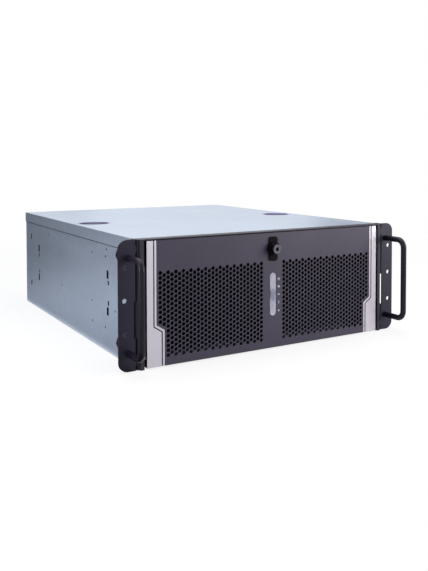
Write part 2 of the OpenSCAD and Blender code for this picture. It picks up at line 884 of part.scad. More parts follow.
module round_vent(d, flats, web) {
  // Hexagonal holes inside a circle, open in rings around a fan's hub
  pitch = flats + web;
  step = pitch * sqrt(3) / 2;
  n = ceil(d / 2 / step);
  for (c = [-n:n], r = [-n - 1:n]) {
    x = c * step;
    z = (r + abs(c % 2) / 2) * pitch;
    if (norm([x, z]) < d / 2 - flats / 2) translate([x, z]) circle(d = 2 * flats / sqrt(3), $fn = 6);
  }
}

module rear_panel() {
  x1 = body_x - sheet_t;
  color(galvanised) {
    along_y(y_inner_rear, y_rear_panel) difference() {
      translate([-x1, sheet_t]) square([2 * x1, wall_top - 2 * sheet_t]);
      translate([io_x0, io_z]) square([io_w, io_h]);
      for (i = [0:6]) translate([slot1_x - i * slot_pitch - 6.5, slot_opening_z0])
        square([13, slot_opening_h]);
      for (i = [0, 1]) translate([rear_fan_x[i], rear_fan_z]) {
        round_vent(rear_fan_size - 6, 7, 2);
        for (x = [-1, 1], z = [-1, 1])
          translate([x, z] * rear_fan_size * fan_hole_share / 2)
            circle(d = 4.3, $fn = 24);
      }
      translate([psu_x0 + 3, sheet_t + 4]) square([psu_w - 6, psu_h - 8]);
      translate([board_x0 + 70, upper_vent_z]) hex_vent(120, 30, 7, 2);
      for (x = screw_x) translate([x - 2.5, cover_screw_z - 2.5]) square([5, 30]);
    }
    block([-x1, y_inner_rear - 5, sheet_t], [psu_x0 - 1, y_rear_panel, 2 * sheet_t]);
  }
}

// Drives and switches

module drive_cage() {
  color(galvanised) {
    block([cage_x0, y_fans, cage_z], [cage_x0 + cage_w, y_fans + cage_l, cage_z + sheet_t]);
    for (x = [cage_x0, cage_x0 + cage_w - sheet_t, cage_x0 + cage_w / 2 - sheet_t / 2])
      along_x(x, x + sheet_t) difference() {
        translate([y_fans, cage_z]) square([cage_l, drive_h + 4]);
        for (i = [1:3]) translate([y_fans + i * cage_l / 4, cage_z + 8]) circle(d = 3.6, $fn = 24);
      }
  }
}

module drives() {
  color("#7d8086") for (i = [0, 1])
    translate([cage_x0 + sheet_t + 1 + i * (cage_w / 2), y_fans + 4, cage_z + sheet_t + 0.2]) {
      difference() {
        cube([drive_w, drive_l, drive_h - 4]);
        translate([-1, drive_l - 12, -1]) cube([drive_w + 2, 13, 6]);
      }
      translate([4, 4, 0]) cube([drive_w - 8, drive_l - 24, drive_h - 1.5]);
    }
}

module push_button(x, d) {
  y_cap = y_wall - 3;
  color("#26262a") translate([x, 0, button_z]) {
    rod_y(d, y_cap, y_fans + 3);
    rod_y(d + 4, y_fans + 0.3, y_fans + 1.8);
    rod_y(4, y_fans + 1, y_fans + board_gap - 5);
  }
}

module power_button() {
  push_button(power_x, button_d);
}

module reset_button() {
  push_button(reset_x, reset_d);
}

module switch_board() {
  y0 = y_fans + board_gap;
  color(board_green) {
    block([power_x - 14, y0, button_z - 12], [reset_x + 14, y0 + board_t, button_z + 12]);
    for (x = [power_x, reset_x]) {
      block([x - 4, y0 - 2, button_z - 4], [x + 4, y0 + 0.1, button_z + 4]);
    }
    // Spacers that hold the board off the inner wall
    for (x = [power_x - 11, reset_x + 11]) translate([x, 0, button_z + 8])
      rod_y(5, y_fans, y0 + 0.1);
  }
}

// Main board

module standoffs() {
  color("#c9a24b") for (x = [board_x0 + 7, (board_x0 + board_x1) / 2, board_x1 - 7],
    y = [board_y1 - 8, board_y1 - board_l / 2, board_y1 - board_l + 8])
      translate([x, y, sheet_t]) cylinder(d = 6.5, h = standoff_h, $fn = 6);
}

module motherboard() {
  color(board_green) block([board_x0, board_y1 - board_l, board_z],
    [board_x1, board_y1, board_z + board_t]);
  color(steel) for (i = [0:3])
    translate([memory_x - i * memory_pitch, cooler_y - memory_l / 2 - 4, board_z + board_t])
      cube([5.5, memory_l + 8, memory_socket_h]);
  color(steel) translate([chipset_x, slot_y0 - 16 - chipset_w, board_z + board_t])
    cube([chipset_w, chipset_w, chipset_h]);
}

module memory_modules() {
  color("#23543a") for (i = [0:3])
    translate([memory_x + 2 - i * memory_pitch, cooler_y - memory_l / 2,
      board_z + board_t + memory_socket_h]) {
      cube([1.4, memory_l, 30]);
      for (k = [0:7]) translate([-1, 6 + k * 15.5, 9]) cube([3.4, 11, 14]);
    }
}

module cpu_heatsink() {
  z0 = board_z + board_t;
  fins = 13;
  fin_z0 = z0 + 34;
  pitch = (cooler_top - fin_z0) / (fins - 1);
  color(steel) translate([cooler_x, cooler_y, 0]) difference() {
    union() {
      translate([-22, -22, z0]) cube([44, 44, 14]);
      for (i = [0:fins - 1]) translate([-cooler_w / 2, -cooler_d / 2, fin_z0 + i * pitch])
        cube([cooler_w, cooler_d, 0.8]);
      for (x = [-0.375, -0.1875, 0.1875, 0.375] * cooler_w) {
        translate([x, 0, z0 + 8]) cylinder(d = 6, h = cooler_top + 3 - z0 - 8, $fn = 24);
        translate([min(x, 0), -3, z0 + 4]) cube([abs(x), 6, 6]);
      }
    }
  }
}

module at_cpu_fan() {
  translate([cooler_x, cooler_y - cooler_d / 2 - cooler_fan_depth - 0.2,
    cooler_top - cooler_fan / 2]) rotate([-90, 0, 0]) children();
}

module cpu_fan_frame() {
  color(plastic_black) at_cpu_fan() fan_frame(cooler_fan, cooler_fan_depth);
}

module cpu_fan_rotor() {
  color("#303236") at_cpu_fan() fan_rotor(cooler_fan, cooler_fan_depth, 7);
}

module pcie_slots() {
  color(plastic_black) for (i = [0:6])
    translate([slot1_x - i * slot_pitch - 3.7, slot_y0, board_z + board_t])
      difference() {
        cube([7.4, slot_l, socket_h]);
        translate([2.7, 2, 3]) cube([2, slot_l - 4, socket_h]);
      }
}

// Connectors at the rear

module io_connectors() {
  depth = 18;
  y1 = y_rear_panel + 1;
  color(steel) for (p = connector_places) {
    x = io_x0 + p[0];
    z = board_z + board_t;
    difference() {
      block([x, y1 - depth, z], [x + p[1], y1, z + p[2]]);
      // Sockets, one above the other in the tall blocks
      for (level = p[2] > 20 ? [0, 1] : [0])
        block([x + 1.4, y1 - socket_depth, z + 2 + level * socket_level_h],
          [x + p[1] - 1.4, y1 + 1, z + 12 + level * socket_level_h]);
    }
  }
}

module io_shield() {
  color(steel) along_y(y_rear_panel, y_rear_panel + 0.8) difference() {
    translate([io_x0 - 2, io_z - 2]) square([io_w + 4, io_h + 4]);
    for (p = connector_places) translate([io_x0 + p[0] - 0.4, board_z + board_t - 0.4])
      square([p[1] + 0.8, p[2] + 0.8]);
    for (i = [0:9]) translate([io_x0 + 14 + i * 13, io_z + 37]) square([8, 3.4]);
  }
}

// Accelerator cards

module each_card() {
  for (i = [0, 2, 4]) translate([slot1_x - i * slot_pitch, 0, 0]) children();
}

module gpu_boards() {
  color("#15352a") each_card() {
    block([-0.8, card_y1 - card_l, card_z0], [0.8, card_y1, card_z1]);
    block([-0.8, slot_y0 + 4, board_z + board_t + 4],
      [0.8, slot_y0 + slot_l - 2, card_z0 + 0.1]);
  }
}

module gpu_shrouds() {
  wall = 1.5;
  color("#2c2d30") each_card() difference() {
    block([0.9 - card_w, card_y1 - card_l, card_z0 + 2], [-0.8, card_y1, card_z1]);
    block([0.9 - card_w + wall, card_y1 - card_l - 1, card_z0 + 2 + wall],
      [0, card_y1 + 1, card_z1 - wall]);
  }
}

module gpu_heatsinks() {
  wall = 1.5;
  fins = 8;
  x0 = 0.9 - card_w + wall + 1;
  x1 = -3.2;
  pitch = (x1 - x0) / fins;
  color(steel) each_card() {
    block([x1, card_y1 - card_l + 12, card_z0 + 5], [-1, card_y1 - 12, card_z1 - 3]);
    for (k = [0:fins - 1]) block([x0 + k * pitch, card_y1 - card_l + 12, card_z0 + 5 + wall],
      [x0 + k * pitch + 0.9, card_y1 - 12, card_z1 - 3]);
    block([x0, card_y1 - card_l + 12, card_z0 + 4], [x1 + 0.1, card_y1 - 12, card_z0 + 6.6]);
  }
}

module bracket(w, vents) {
  // Slot bracket with its bent foot on the rear panel
  x0 = w > 20 ? 6.6 - w : -9;
  along_y(y_inner_rear - 1.2, y_inner_rear - 0.2) difference() {
    translate([x0, slot_opening_z0 - 4]) square([w, slot_opening_h + 10]);
    for (k = [0:vents - 1])
      translate([x0 + w / 2 - w * 0.32, slot_opening_z0 + 12 + k * 9]) square([w * 0.64, 5]);
  }
  block([x0, y_inner_rear - 12, slot_opening_z0 + slot_opening_h + 5],
    [x0 + w, y_inner_rear - 0.2, slot_opening_z0 + slot_opening_h + 6]);
}

module gpu_brackets() {
  color(steel) each_card() bracket(38, 9);
}

module slot_covers() {
  color(steel) translate([slot1_x - 6 * slot_pitch, 0, 0]) bracket(18, 9);
}

module card_brace() {
  // Bar across the chassis with a pad on the top edge of each card
  y0 = card_y1 - card_l + 20;
  z0 = card_z1 + 12;
  x1 = body_x - sheet_t;
  color(galvanised) {
    block([-x1, y0, z0], [x1, y0 + 16, z0 + sheet_t]);
    for (y = [y0, y0 + 16 - sheet_t]) block([-x1, y, z0], [x1, y + sheet_t, z0 + 10]);
    both_sides() block([x1 - sheet_t, y0, z0 - 14], [x1, y0 + 16, z0 + 10]);
  }
  color(plastic_black) each_card()
    block([-22, y0 + 3, card_z1 + 0.2], [2, y0 + 13, z0 + 0.1]);
}

// Power supply

module psu_case() {
  color("#3a3b3f") difference() {
    block([psu_x0, psu_y0, sheet_t], [psu_x1, y_inner_rear - 0.2, sheet_t + psu_h]);
    translate([0, psu_fan_y, psu_fan_z]) rod_x(psu_fan_d + 6, psu_x0 - 1, psu_x0 + psu_fan_pocket);
    along_y(y_inner_rear - 4, y_inner_rear + 1)
      translate([psu_x0 + psu_w / 2, sheet_t + psu_h * 0.66]) hex_vent(64, 74, 7, 2);
    block([inlet_x - 15.3, y_inner_rear - inlet_depth, inlet_z - 11.3],
      [inlet_x + switch_offset + 10.3, y_inner_rear + 1, inlet_z + 11.3]);
  }
  // Motor mount in the fan pocket
  color("#3a3b3f") translate([0, psu_fan_y, psu_fan_z]) difference() {
    rod_x(14, psu_x0 + 8, psu_x0 + psu_fan_pocket + 0.1);
    rod_x(shaft_d + 2 * running_gap, psu_x0 + 7, psu_x0 + psu_fan_pocket - 2);
  }
}

module psu_fan_rotor() {
  color("#303236") translate([psu_x0 + 3, psu_fan_y, psu_fan_z]) rotate([0, 90, 0])
    fan_rotor(psu_fan_d + 4, 22, 9);
}

module psu_grille() {
  // Wire guard of concentric rings over the fan
  wire = 1.6;
  spoke = 2.4;
  color(steel) translate([psu_x0 - wire / 2, psu_fan_y, psu_fan_z]) rotate([0, 90, 0]) {
    for (r = [14, 26, 38, 50]) rotate_extrude() translate([r, 0]) circle(d = wire, $fn = 16);
    for (a = [45:90:315]) rotate([0, 0, a]) {
      translate([13.6, -spoke / 2, -1]) cube([psu_fan_d / 2 - 13.6 + 5, spoke, wire / 2]);
      translate([psu_fan_d / 2 + 6, 0, -1]) cylinder(d = 5, h = 1 + wire / 2);
    }
  }
}

module psu_inlet() {
  y1 = y_rear_panel + 0.6;
  color(plastic_black) difference() {
    union() {
      block([inlet_x - 15, y_inner_rear - inlet_depth, inlet_z - 11],
        [inlet_x + 15, y1, inlet_z + 11]);
      block([inlet_x + switch_offset - 10, y_inner_rear - inlet_depth, inlet_z - 11],
        [inlet_x + switch_offset + 10, y1, inlet_z + 11]);
    }
    along_y(y1 - 13, y1 + 1) polygon([
      [inlet_x - 12, inlet_z - 8], [inlet_x + 12, inlet_z - 8], [inlet_x + 12, inlet_z + 4],
      [inlet_x + 8, inlet_z + 8], [inlet_x - 8, inlet_z + 8], [inlet_x - 12, inlet_z + 4]
    ]);
    block([inlet_x + switch_offset - 7, y1 - 8, inlet_z - 8],
      [inlet_x + switch_offset + 7, y1 + 1, inlet_z + 8]);
  }
  color(steel) for (p = [[-7, -1], [0, 3], [7, -1]])
    block([inlet_x + p[0] - 1, y1 - 14, inlet_z + p[1] - 2],
      [inlet_x + p[0] + 1, y1 - 3, inlet_z + p[1] + 2]);
}

module psu_switch() {
  // Rocker with two sloped faces, pivoted across its middle
  y1 = y_rear_panel + 0.6;
  color("#6b1f1f") translate([inlet_x + switch_offset, y1 - 4, inlet_z]) {
    rotate([-8, 0, 0]) along_x(-6.5, 6.5) polygon([[-2, -7], [3.4, -7], [2, 0], [3.4, 7], [-2, 7]]);
  }
}

chassis_tray();
rear_panel();
front_panel();
front_frame();
ear_left();
ear_right();
handle_left();
handle_right();
ear_screws();
hinge_pins();
door_panel();
door_frame();
door_trim_left();
door_trim_right();
door_strips();
light_bar_lens();
light_board();
door_hinge_blocks();
door_filter();
lock_plate();
lock_barrel();
lock_plug();
lock_cam();
top_cover();
cover_screws();
front_fan_frame(1);  // fan_frame_1
front_fan_frame(2);  // fan_frame_2
front_fan_frame(3);  // fan_frame_3
front_fan_rotor(1);  // fan_rotor_1
front_fan_rotor(2);  // fan_rotor_2
front_fan_rotor(3);  // fan_rotor_3
rear_fan_frames();
rear_fan_rotor(1);  // rear_fan_rotor_1
rear_fan_rotor(2);  // rear_fan_rotor_2
drive_cage();
drives();
switch_board();
power_button();
reset_button();
motherboard();
standoffs();
cpu_heatsink();
cpu_fan_frame();
cpu_fan_rotor();
memory_modules();
io_connectors();
io_shield();
pcie_slots();
gpu_boards();
gpu_heatsinks();
gpu_shrouds();
gpu_brackets();
card_brace();
slot_covers();
psu_case();
psu_grille();
psu_fan_rotor();
psu_inlet();
psu_switch();
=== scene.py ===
import json
import math
import random

import bpy
from mathutils import Matrix, Vector


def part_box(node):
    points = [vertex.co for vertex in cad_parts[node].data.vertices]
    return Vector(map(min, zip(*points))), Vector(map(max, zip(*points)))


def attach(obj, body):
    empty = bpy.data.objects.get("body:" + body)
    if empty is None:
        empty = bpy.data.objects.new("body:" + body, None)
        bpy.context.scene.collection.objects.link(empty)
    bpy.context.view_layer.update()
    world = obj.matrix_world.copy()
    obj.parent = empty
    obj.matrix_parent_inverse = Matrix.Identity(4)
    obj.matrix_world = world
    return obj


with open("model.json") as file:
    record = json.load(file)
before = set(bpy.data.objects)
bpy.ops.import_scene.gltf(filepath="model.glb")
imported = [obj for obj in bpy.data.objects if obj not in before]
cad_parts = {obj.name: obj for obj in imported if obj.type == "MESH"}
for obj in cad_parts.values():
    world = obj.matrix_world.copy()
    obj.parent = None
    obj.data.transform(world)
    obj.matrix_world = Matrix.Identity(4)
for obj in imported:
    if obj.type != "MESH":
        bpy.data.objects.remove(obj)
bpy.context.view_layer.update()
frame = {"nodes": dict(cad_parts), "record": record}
nodes = frame["nodes"]


def hexColour(text):
    # sRGB hex to the linear values that a shader takes
    channels = [int(text[i:i + 2], 16) / 255 for i in (1, 3, 5)]
    return [c / 12.92 if c <= 0.04045 else ((c + 0.055) / 1.055) ** 2.4 for c in channels] + [1]


def addNode(tree, kind, settings=None, links=None):
    # settings are the node's own properties or its sockets' values; links come from other nodes
    made = tree.nodes.new("ShaderNode" + kind)
    for name, value in (settings or {}).items():
        if isinstance(name, str) and hasattr(made, name):
            setattr(made, name, value)
        else:
            made.inputs[name].default_value = value
    for name, source in (links or {}).items():
        tree.links.new(source, made.inputs[name])
    return made


def startMaterial(name, **sockets):
    # a shader with even values on its own sockets, and the object's coordinates
    material = bpy.data.materials.new(name)
    material.use_nodes = True
    tree = material.node_tree
    shader = tree.nodes["Principled BSDF"]
    for socket, value in sockets.items():
        shader.inputs[socket.replace("_", " ")].default_value = value
    return material, tree, shader, addNode(tree, "TexCoord").outputs["Object"]


def twoTone(tree, share, look):
    # a colour that drifts between the look's deep and its pale one
    tones = {"data_type": "RGBA", 6: hexColour(look["deep"]), 7: hexColour(look["pale"])}
    return addNode(tree, "Mix", tones, {0: share}).outputs[2]


def mottle(tree, place, size, low, high, detail=3, stretch=None):
    # noise with lumps of a given size in millimetres, spread between two values
    if stretch:
        place = addNode(tree, "Mapping", {"Scale": stretch}, {"Vector": place}).outputs["Vector"]
    noise = addNode(tree, "TexNoise", {"Scale": 1000 / size, "Detail": detail}, {"Vector": place})
    spread = {"From Min": 0.3, "From Max": 0.7, "To Min": low, "To Max": high}
    return addNode(tree, "MapRange", spread, {"Value": noise.outputs["Fac"]}).outputs["Result"]


def dressShader(tree, shader, colour, height, depth, gloss=None):
    # a colour, a relief of a given depth in millimetres, and a roughness that drifts
    bump = addNode(tree, "Bump", {"Distance": depth / 1000}, {"Height": height})
    tree.links.new(bump.outputs["Normal"], shader.inputs["Normal"])
    tree.links.new(colour, shader.inputs["Base Color"])
    if gloss:
        tree.links.new(gloss, shader.inputs["Roughness"])


def tintBands(tree, place, colour, tint, bands):
    # another colour between two distances from the middle plane, in metres along an axis
    for axis, low, high in bands:
        along = addNode(tree, "SeparateXYZ", {}, {"Vector": place}).outputs[axis]
        along = addNode(tree, "Math", {"operation": "ABSOLUTE"}, {0: along}).outputs[0]
        inside = addNode(tree, "Math", {"operation": "COMPARE", 1: (low + high) / 2,
                                        2: (high - low) / 2}, {0: along}).outputs[0]
        colour = addNode(tree, "Mix", {"data_type": "RGBA", 7: hexColour(tint)},
                         {0: inside, 6: colour}).outputs[2]
    return colour


def behind(axis, face, thickness, skin=0.0001):
    # the band in which the walls of a sheet's holes and grooves lie, behind its painted skin
    return axis, face - thickness, face - skin


def coated(name, look):
    # colour and gloss that drift over a surface with a fine grain
    material, tree, shader, place = startMaterial(
        name, Metallic=look.get("metallic", 0.0), Specular_IOR_Level=look.get("shine", 0.5))
    colour = twoTone(tree, mottle(tree, place, look["patch"], 0, 1), look)
    # a tint on the walls of holes and grooves: painted highlight on the door, painted shade on the
    # silver trim
    if "edge" in look:
        colour = tintBands(tree, place, colour, look["edge"], look["bands"])
    gloss = mottle(tree, place, look["smudge"], *look["roughness"], stretch=look.get("stretch"))
    grain = mottle(tree, place, look["grain"], 0, 1, 2, look.get("stretch"))
    dressShader(tree, shader, colour, grain, look["relief"], gloss)
    return material


doorFace = abs(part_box("door_panel")[0].y)
trimFace = abs(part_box("door_trim_right")[0].y)
finishes = {
    # polyester powder coat, baked: satin with a fine orange peel
    "powderCoatCharcoal": dict(
        deep="#3d394a", pale="#464253", patch=90, smudge=35, roughness=(0.4, 0.48),
        grain=1.3, relief=0.012, shine=0.35),
    # the black coat of the ears, with a touch of violet in flat light
    "powderCoatBlack": dict(
        deep="#1a182a", pale="#201e31", patch=70, smudge=30, roughness=(0.38, 0.48),
        grain=1.2, relief=0.015, shine=0.28),
    # a paler black coat, baked duller, on the folded front frame; darker than the door's charcoal coat
    # as painted shade where the frame sits back
    "shadedFrameCoat": dict(
        deep="#282630", pale="#302e38", patch=60, smudge=30, roughness=(0.42, 0.52),
        grain=1.2, relief=0.015, shine=0.3),
    # satin black paint of the lock's plate
    "lockPaint": dict(
        deep="#060608", pale="#0b0b0e", patch=6, smudge=4, roughness=(0.34, 0.46),
        grain=0.6, relief=0.006, shine=0.06),
    # steel rod with a smooth black enamel, a little shinier where hands rub it
    "enamelledRod": dict(
        deep="#160f1c", pale="#1c1523", patch=30, smudge=18, roughness=(0.3, 0.42),
        grain=1.5, relief=0.004, shine=0.2),
    # satin silver lacquer over aluminium strip, black on the sides of the grooves as painted shade
    "silverLacquer": dict(
        deep="#d2ced8", pale="#dcd8e1", patch=80, smudge=25, roughness=(0.3, 0.4),
        grain=0.9, relief=0.006, stretch=(1, 1, 0.2), metallic=0.3, edge="#17161c",
        bands=[behind("Y", trimFace, 0.0016, 0.0002)]),
    # open-cell polyurethane foam: matt, with deep pores
    "filterFoam": dict(
        deep="#040306", pale="#0d0b12", patch=2.2, smudge=3, roughness=(0.85, 1.0),
        grain=1.6, relief=0.8, shine=0.1),
    # steel screws, black zinc with a passivated sheen
    "blackZinc": dict(
        deep="#151517", pale="#1e1e21", patch=3, smudge=2, roughness=(0.3, 0.5),
        grain=0.5, relief=0.006, metallic=0.6),
    # bright zinc plate with the faint blue of its passivation
    "brightZinc": dict(
        deep="#b0b4ba", pale="#bec1c6", patch=40, smudge=30, roughness=(0.3, 0.36),
        grain=1.2, relief=0.003, metallic=1.0),
    # satin black nickel of the lock's barrel, worn a little by keys
    "blackNickel": dict(
        deep="#4a4a52", pale="#5b5b63", patch=4, smudge=2.5, roughness=(0.26, 0.4),
        grain=0.4, relief=0.005, metallic=1.0),
    # silk-screened enamel of the marks
    "printedInk": dict(
        deep="#e0dfe8", pale="#efeef6", patch=3, smudge=2, roughness=(0.5, 0.65),
        grain=0.4, relief=0.01),
    # satin foil of blank plates and hub discs
    "hubFoil": dict(
        deep="#b9bbbf", pale="#cfd0d3", patch=30, smudge=12, roughness=(0.36, 0.46),
        grain=0.5, relief=0.004, stretch=(1, 0.1, 1), metallic=0.8),
    # black anodised cooler with a drawn grain
    "blackAnodise": dict(
        deep="#1c1d20", pale="#26272b", patch=20, smudge=9, roughness=(0.34, 0.46),
        grain=0.7, relief=0.01, stretch=(1, 0.15, 1), metallic=0.7),
    # off-white nylon of the memory latches
    "latchNylon": dict(
        deep="#b9b6ab", pale="#c9c6bb", patch=6, smudge=4, roughness=(0.4, 0.5),
        grain=0.5, relief=0.008),
    # blue nylon of the drive ports
    "portNylon": dict(
        deep="#1d2f57", pale="#26396a", patch=8, smudge=5, roughness=(0.38, 0.48),
        grain=0.5, relief=0.008),
    # pressed ferrite of the chokes
    "ferriteGrey": dict(
        deep="#37383c", pale="#47484d", patch=3, smudge=2.5, roughness=(0.55, 0.75),
        grain=0.5, relief=0.03, metallic=0.2),
    # moulded epoxy of the chips
    "chipEpoxy": dict(
        deep="#141416", pale="#1c1c1f", patch=5, smudge=4, roughness=(0.5, 0.62),
        grain=0.3, relief=0.008),
    # fired ceramic of the smallest parts
    "ceramicTan": dict(
        deep="#6e5a42", pale="#9b8562", patch=1.6, smudge=1.2, roughness=(0.4, 0.55),
        grain=0.3, relief=0.006),
    # gold flash over the contacts
    "goldFlash": dict(
        deep="#b98f3d", pale="#d9b25c", patch=2, smudge=1, roughness=(0.2, 0.3),
        grain=0.3, relief=0.003, metallic=1.0),
    # moulded ABS with a fine spark-eroded grain
    "mouldedAbs": dict(
        deep="#121214", pale="#18181b", patch=25, smudge=12, roughness=(0.45, 0.58),
        grain=0.7, relief=0.02),
    # glass-filled PBT of the fan housings: dull, with flow marks
    "fanPbt": dict(
        deep="#111214", pale="#1a1b1e", patch=18, smudge=9, roughness=(0.42, 0.55),
        grain=1.1, relief=0.015),
    # the blades are moulded in polished tools, so they are shinier
    "rotorPbt": dict(
        deep="#17181b", pale="#1f2024", patch=14, smudge=10, roughness=(0.28, 0.38),
        grain=1.4, relief=0.006),
    # dull black moulding of the two keys behind the door
    "keyPlastic": dict(
        deep="#19191c", pale="#222226", patch=5, smudge=4, roughness=(0.4, 0.5),
        grain=0.5, relief=0.01),
    # glossy rocker of the mains switch
    "rockerPlastic": dict(
        deep="#111113", pale="#17171a", patch=5, smudge=5, roughness=(0.2, 0.28),
        grain=0.8, relief=0.004),
    # die-cast aluminium, sprayed matt
    "sprayedCasting": dict(
        deep="#7f8286", pale="#8f9296", patch=10, smudge=8, roughness=(0.45, 0.6),
        grain=0.9, relief=0.03, metallic=0.7),
    # brass turned on a lathe
    "turnedBrass": dict(
        deep="#a98442", pale="#c8a45c", patch=3, smudge=2, roughness=(0.22, 0.36),
        grain=0.3, relief=0.008, stretch=(1, 1, 6), metallic=1.0),
    # aluminium fins pressed from bright strip
    "pressedAluminium": dict(
        deep="#b3b6ba", pale="#cdcfd2", patch=15, smudge=6, roughness=(0.24, 0.38),
        grain=0.8, relief=0.006, stretch=(1, 0.15, 1), metallic=1.0),
    # black enamel of the cards' shrouds
    "shroudEnamel": dict(
        deep="#1b1c1f", pale="#232427", patch=30, smudge=14, roughness=(0.32, 0.42),
        grain=0.8, relief=0.01),
    # wrinkle-free dark coat of the power supply's case
    "caseEnamel": dict(
        deep="#2a2b2e", pale="#343539", patch=30, smudge=16, roughness=(0.4, 0.5),
        grain=1.0, relief=0.02),
}
# the charcoal coat over the honeycomb, paler on the walls of its holes as a painted highlight
finishes["powderCoatDoor"] = dict(
    finishes["powderCoatCharcoal"], edge="#9a97a6", bands=[behind("Y", doorFace, 0.0014)])
made = {name: coated(name, look) for name, look in finishes.items()}


def galvanised(name, look, dents=(), bands=()):
    # hot-dipped steel sheet: a bluish metal with faint spangles and rolling marks
    material, tree, shader, place = startMaterial(name, Metallic=look["metallic"])
    cells = addNode(tree, "TexVoronoi", {"Scale": 1000 / look["spangle"]}, {"Vector": place})
    crystal = addNode(tree, "SeparateColor", {}, {"Color": cells.outputs["Color"]}).outputs["Red"]
    lean = addNode(tree, "Math", {"operation": "MULTIPLY_ADD", 1: look["contrast"], 2: look["lift"]},
                   {0: crystal})
    drift = mottle(tree, place, look["patch"], 0, look["contrast"], 2)
    share = addNode(tree, "Math", {"operation": "ADD", "use_clamp": True},
                    {0: lean.outputs[0], 1: drift}).outputs[0]
    colour = twoTone(tree, share, look)
    for x, y in dents:  # each dent gets a pale violet ring, a violet wall and a dark floor of painted shade
        away = addNode(tree, "VectorMath", {"operation": "MULTIPLY", 1: (1, 1, 0)}, {0: place})
        away = addNode(tree, "VectorMath", {"operation": "DISTANCE", 1: (x, y, 0)},
                       {0: away.outputs[0]}).outputs["Value"]
        for edge, soft, tint in look["dentRingsAndShade"]:
            inside = addNode(tree, "MapRange", {"From Min": edge - soft, "From Max": edge + soft,
                                                "To Min": 1.0, "To Max": 0.0}, {"Value": away})
            colour = addNode(tree, "Mix", {"data_type": "RGBA", 7: hexColour(tint)},
                             {0: inside.outputs["Result"], 6: colour}).outputs[2]
    # the given bands take a dark colour: painted shade
    colour = tintBands(tree, place, colour, look["gap"], bands)
    gloss = mottle(tree, place, look["smudge"], *look["roughness"], stretch=(1, 0.12, 1))
    marks = mottle(tree, place, look["grain"], 0, 1, 2, (1, 0.1, 1))
    dressShader(tree, shader, colour, marks, look["relief"], gloss)
    return material


# the dents' places on the cover, in metres from its middle and from the ears' faces
dentLook = {"across": 0.363, "back": 0.260}
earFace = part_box("ear_right")[0].y
dentPlaces = [(side * dentLook["across"] / 2, earFace + dentLook["back"]) for side in (-1, 1)]
sheetLook = {"deep": "#aeb9c9", "pale": "#bec9d8", "spangle": 7, "contrast": 0.35, "lift": 0.32,
             "patch": 120, "smudge": 26, "roughness": (0.36, 0.42), "grain": 3.0,
             "relief": 0.005, "metallic": 0.62, "gap": "#1b1d22",
             "dentRingsAndShade": ((0.0285, 0.0035, "#aaa4d6"), (0.0246, 0.0006, "#5c5580"),
                          (0.0234, 0.0008, "#3e3e4a"))}
hem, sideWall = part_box("top_cover")[0].z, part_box("chassis_tray")[1].x
made["galvanisedSheet"] = galvanised("galvanisedSheet", sheetLook)
# shade under the cover's hem, and in the thickness of the wall at each punched hole
made["galvanisedTray"] = galvanised("galvanisedTray", sheetLook, bands=(
    behind("Z", hem, 0.0013, 0), behind("X", sideWall, 0.0011)))
made["galvanisedCover"] = galvanised("galvanisedCover", sheetLook, dentPlaces)


def frostedAcrylic(name, look):
    # opal diffuser: cloudy white, paler above and below as a painted glow, darker halfway down where no
    # light chip stands behind it
    material, tree, shader, place = startMaterial(
        name, Roughness=0.32, Subsurface_Weight=0.25, Subsurface_Scale=0.002)
    height = addNode(tree, "SeparateXYZ", {}, {"Vector": place}).outputs["Z"]
    away = addNode(tree, "Math", {"operation": "SUBTRACT", 1: look["shadow"]}, {0: height}).outputs[0]
    away = addNode(tree, "Math", {"operation": "ABSOLUTE"}, {0: away}).outputs[0]
    glow = addNode(tree, "MapRange", {
        "interpolation_type": "SMOOTHSTEP", "From Max": look["reach"], "To Min": 0.0,
        "To Max": look["glow"]}, {"Value": away}).outputs["Result"]
    cloud = mottle(tree, place, look["patch"], -look["cloud"], look["cloud"], 2)
    share = addNode(tree, "Math", {"operation": "ADD", "use_clamp": True}, {0: glow, 1: cloud})
    grain = mottle(tree, place, look["grain"], 0, 1, 1)
    dressShader(tree, shader, twoTone(tree, share.outputs[0], look), grain, look["relief"])
    return material


lensLow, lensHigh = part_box("light_bar_lens")
made["frostedAcrylic"] = frostedAcrylic("frostedAcrylic", {
    "deep": "#6d7288", "pale": "#d0d2e2", "reach": 0.014, "glow": 0.8, "patch": 9, "cloud": 0.3,
    "grain": 0.8, "relief": 0.01, "shadow": lensLow.z + 0.52 * (lensHigh.z - lensLow.z)})


def solderMask(name, look, top=None):
    # glass-fibre board under a green resist, with copper tracks showing as paler lines
    material, tree, shader, place = startMaterial(name, Coat_Weight=0.3, Coat_Roughness=0.15)
    lines = []
    for turn, offset in ((0, 0.0), (math.pi / 2, 0.013)):
        laid = addNode(tree, "Mapping", {"Rotation": (turn, turn, turn), "Location": (offset,) * 3},
                       {"Vector": place}).outputs["Vector"]
        bricks = addNode(tree, "TexBrick", {
            "Scale": 1000 / look["track"] / 4, "Mortar Size": 0.06, "Brick Width": 3.7,
            "Row Height": 0.32}, {"Vector": laid})
        lines.append(bricks.outputs["Fac"])
    patch = mottle(tree, place, look["patch"], 0, 1, 1)
    tracks = addNode(tree, "Mix", {"data_type": "RGBA"},
                     {0: patch, 6: lines[0], 7: lines[1]}).outputs[2]
    colour = twoTone(tree, tracks, look)
    if top:  # what stands up from the board is black anodised or moulded
        height = addNode(tree, "SeparateXYZ", {}, {"Vector": place}).outputs["Z"]
        above = addNode(tree, "Math", {"operation": "GREATER_THAN", 1: top}, {0: height}).outputs[0]
        colour = addNode(tree, "Mix", {"data_type": "RGBA", 7: hexColour(look["black"])},
                         {0: above, 6: colour}).outputs[2]
    gloss = mottle(tree, place, look["smudge"], *look["roughness"])
    dressShader(tree, shader, colour, tracks, look["relief"], gloss)
    return material


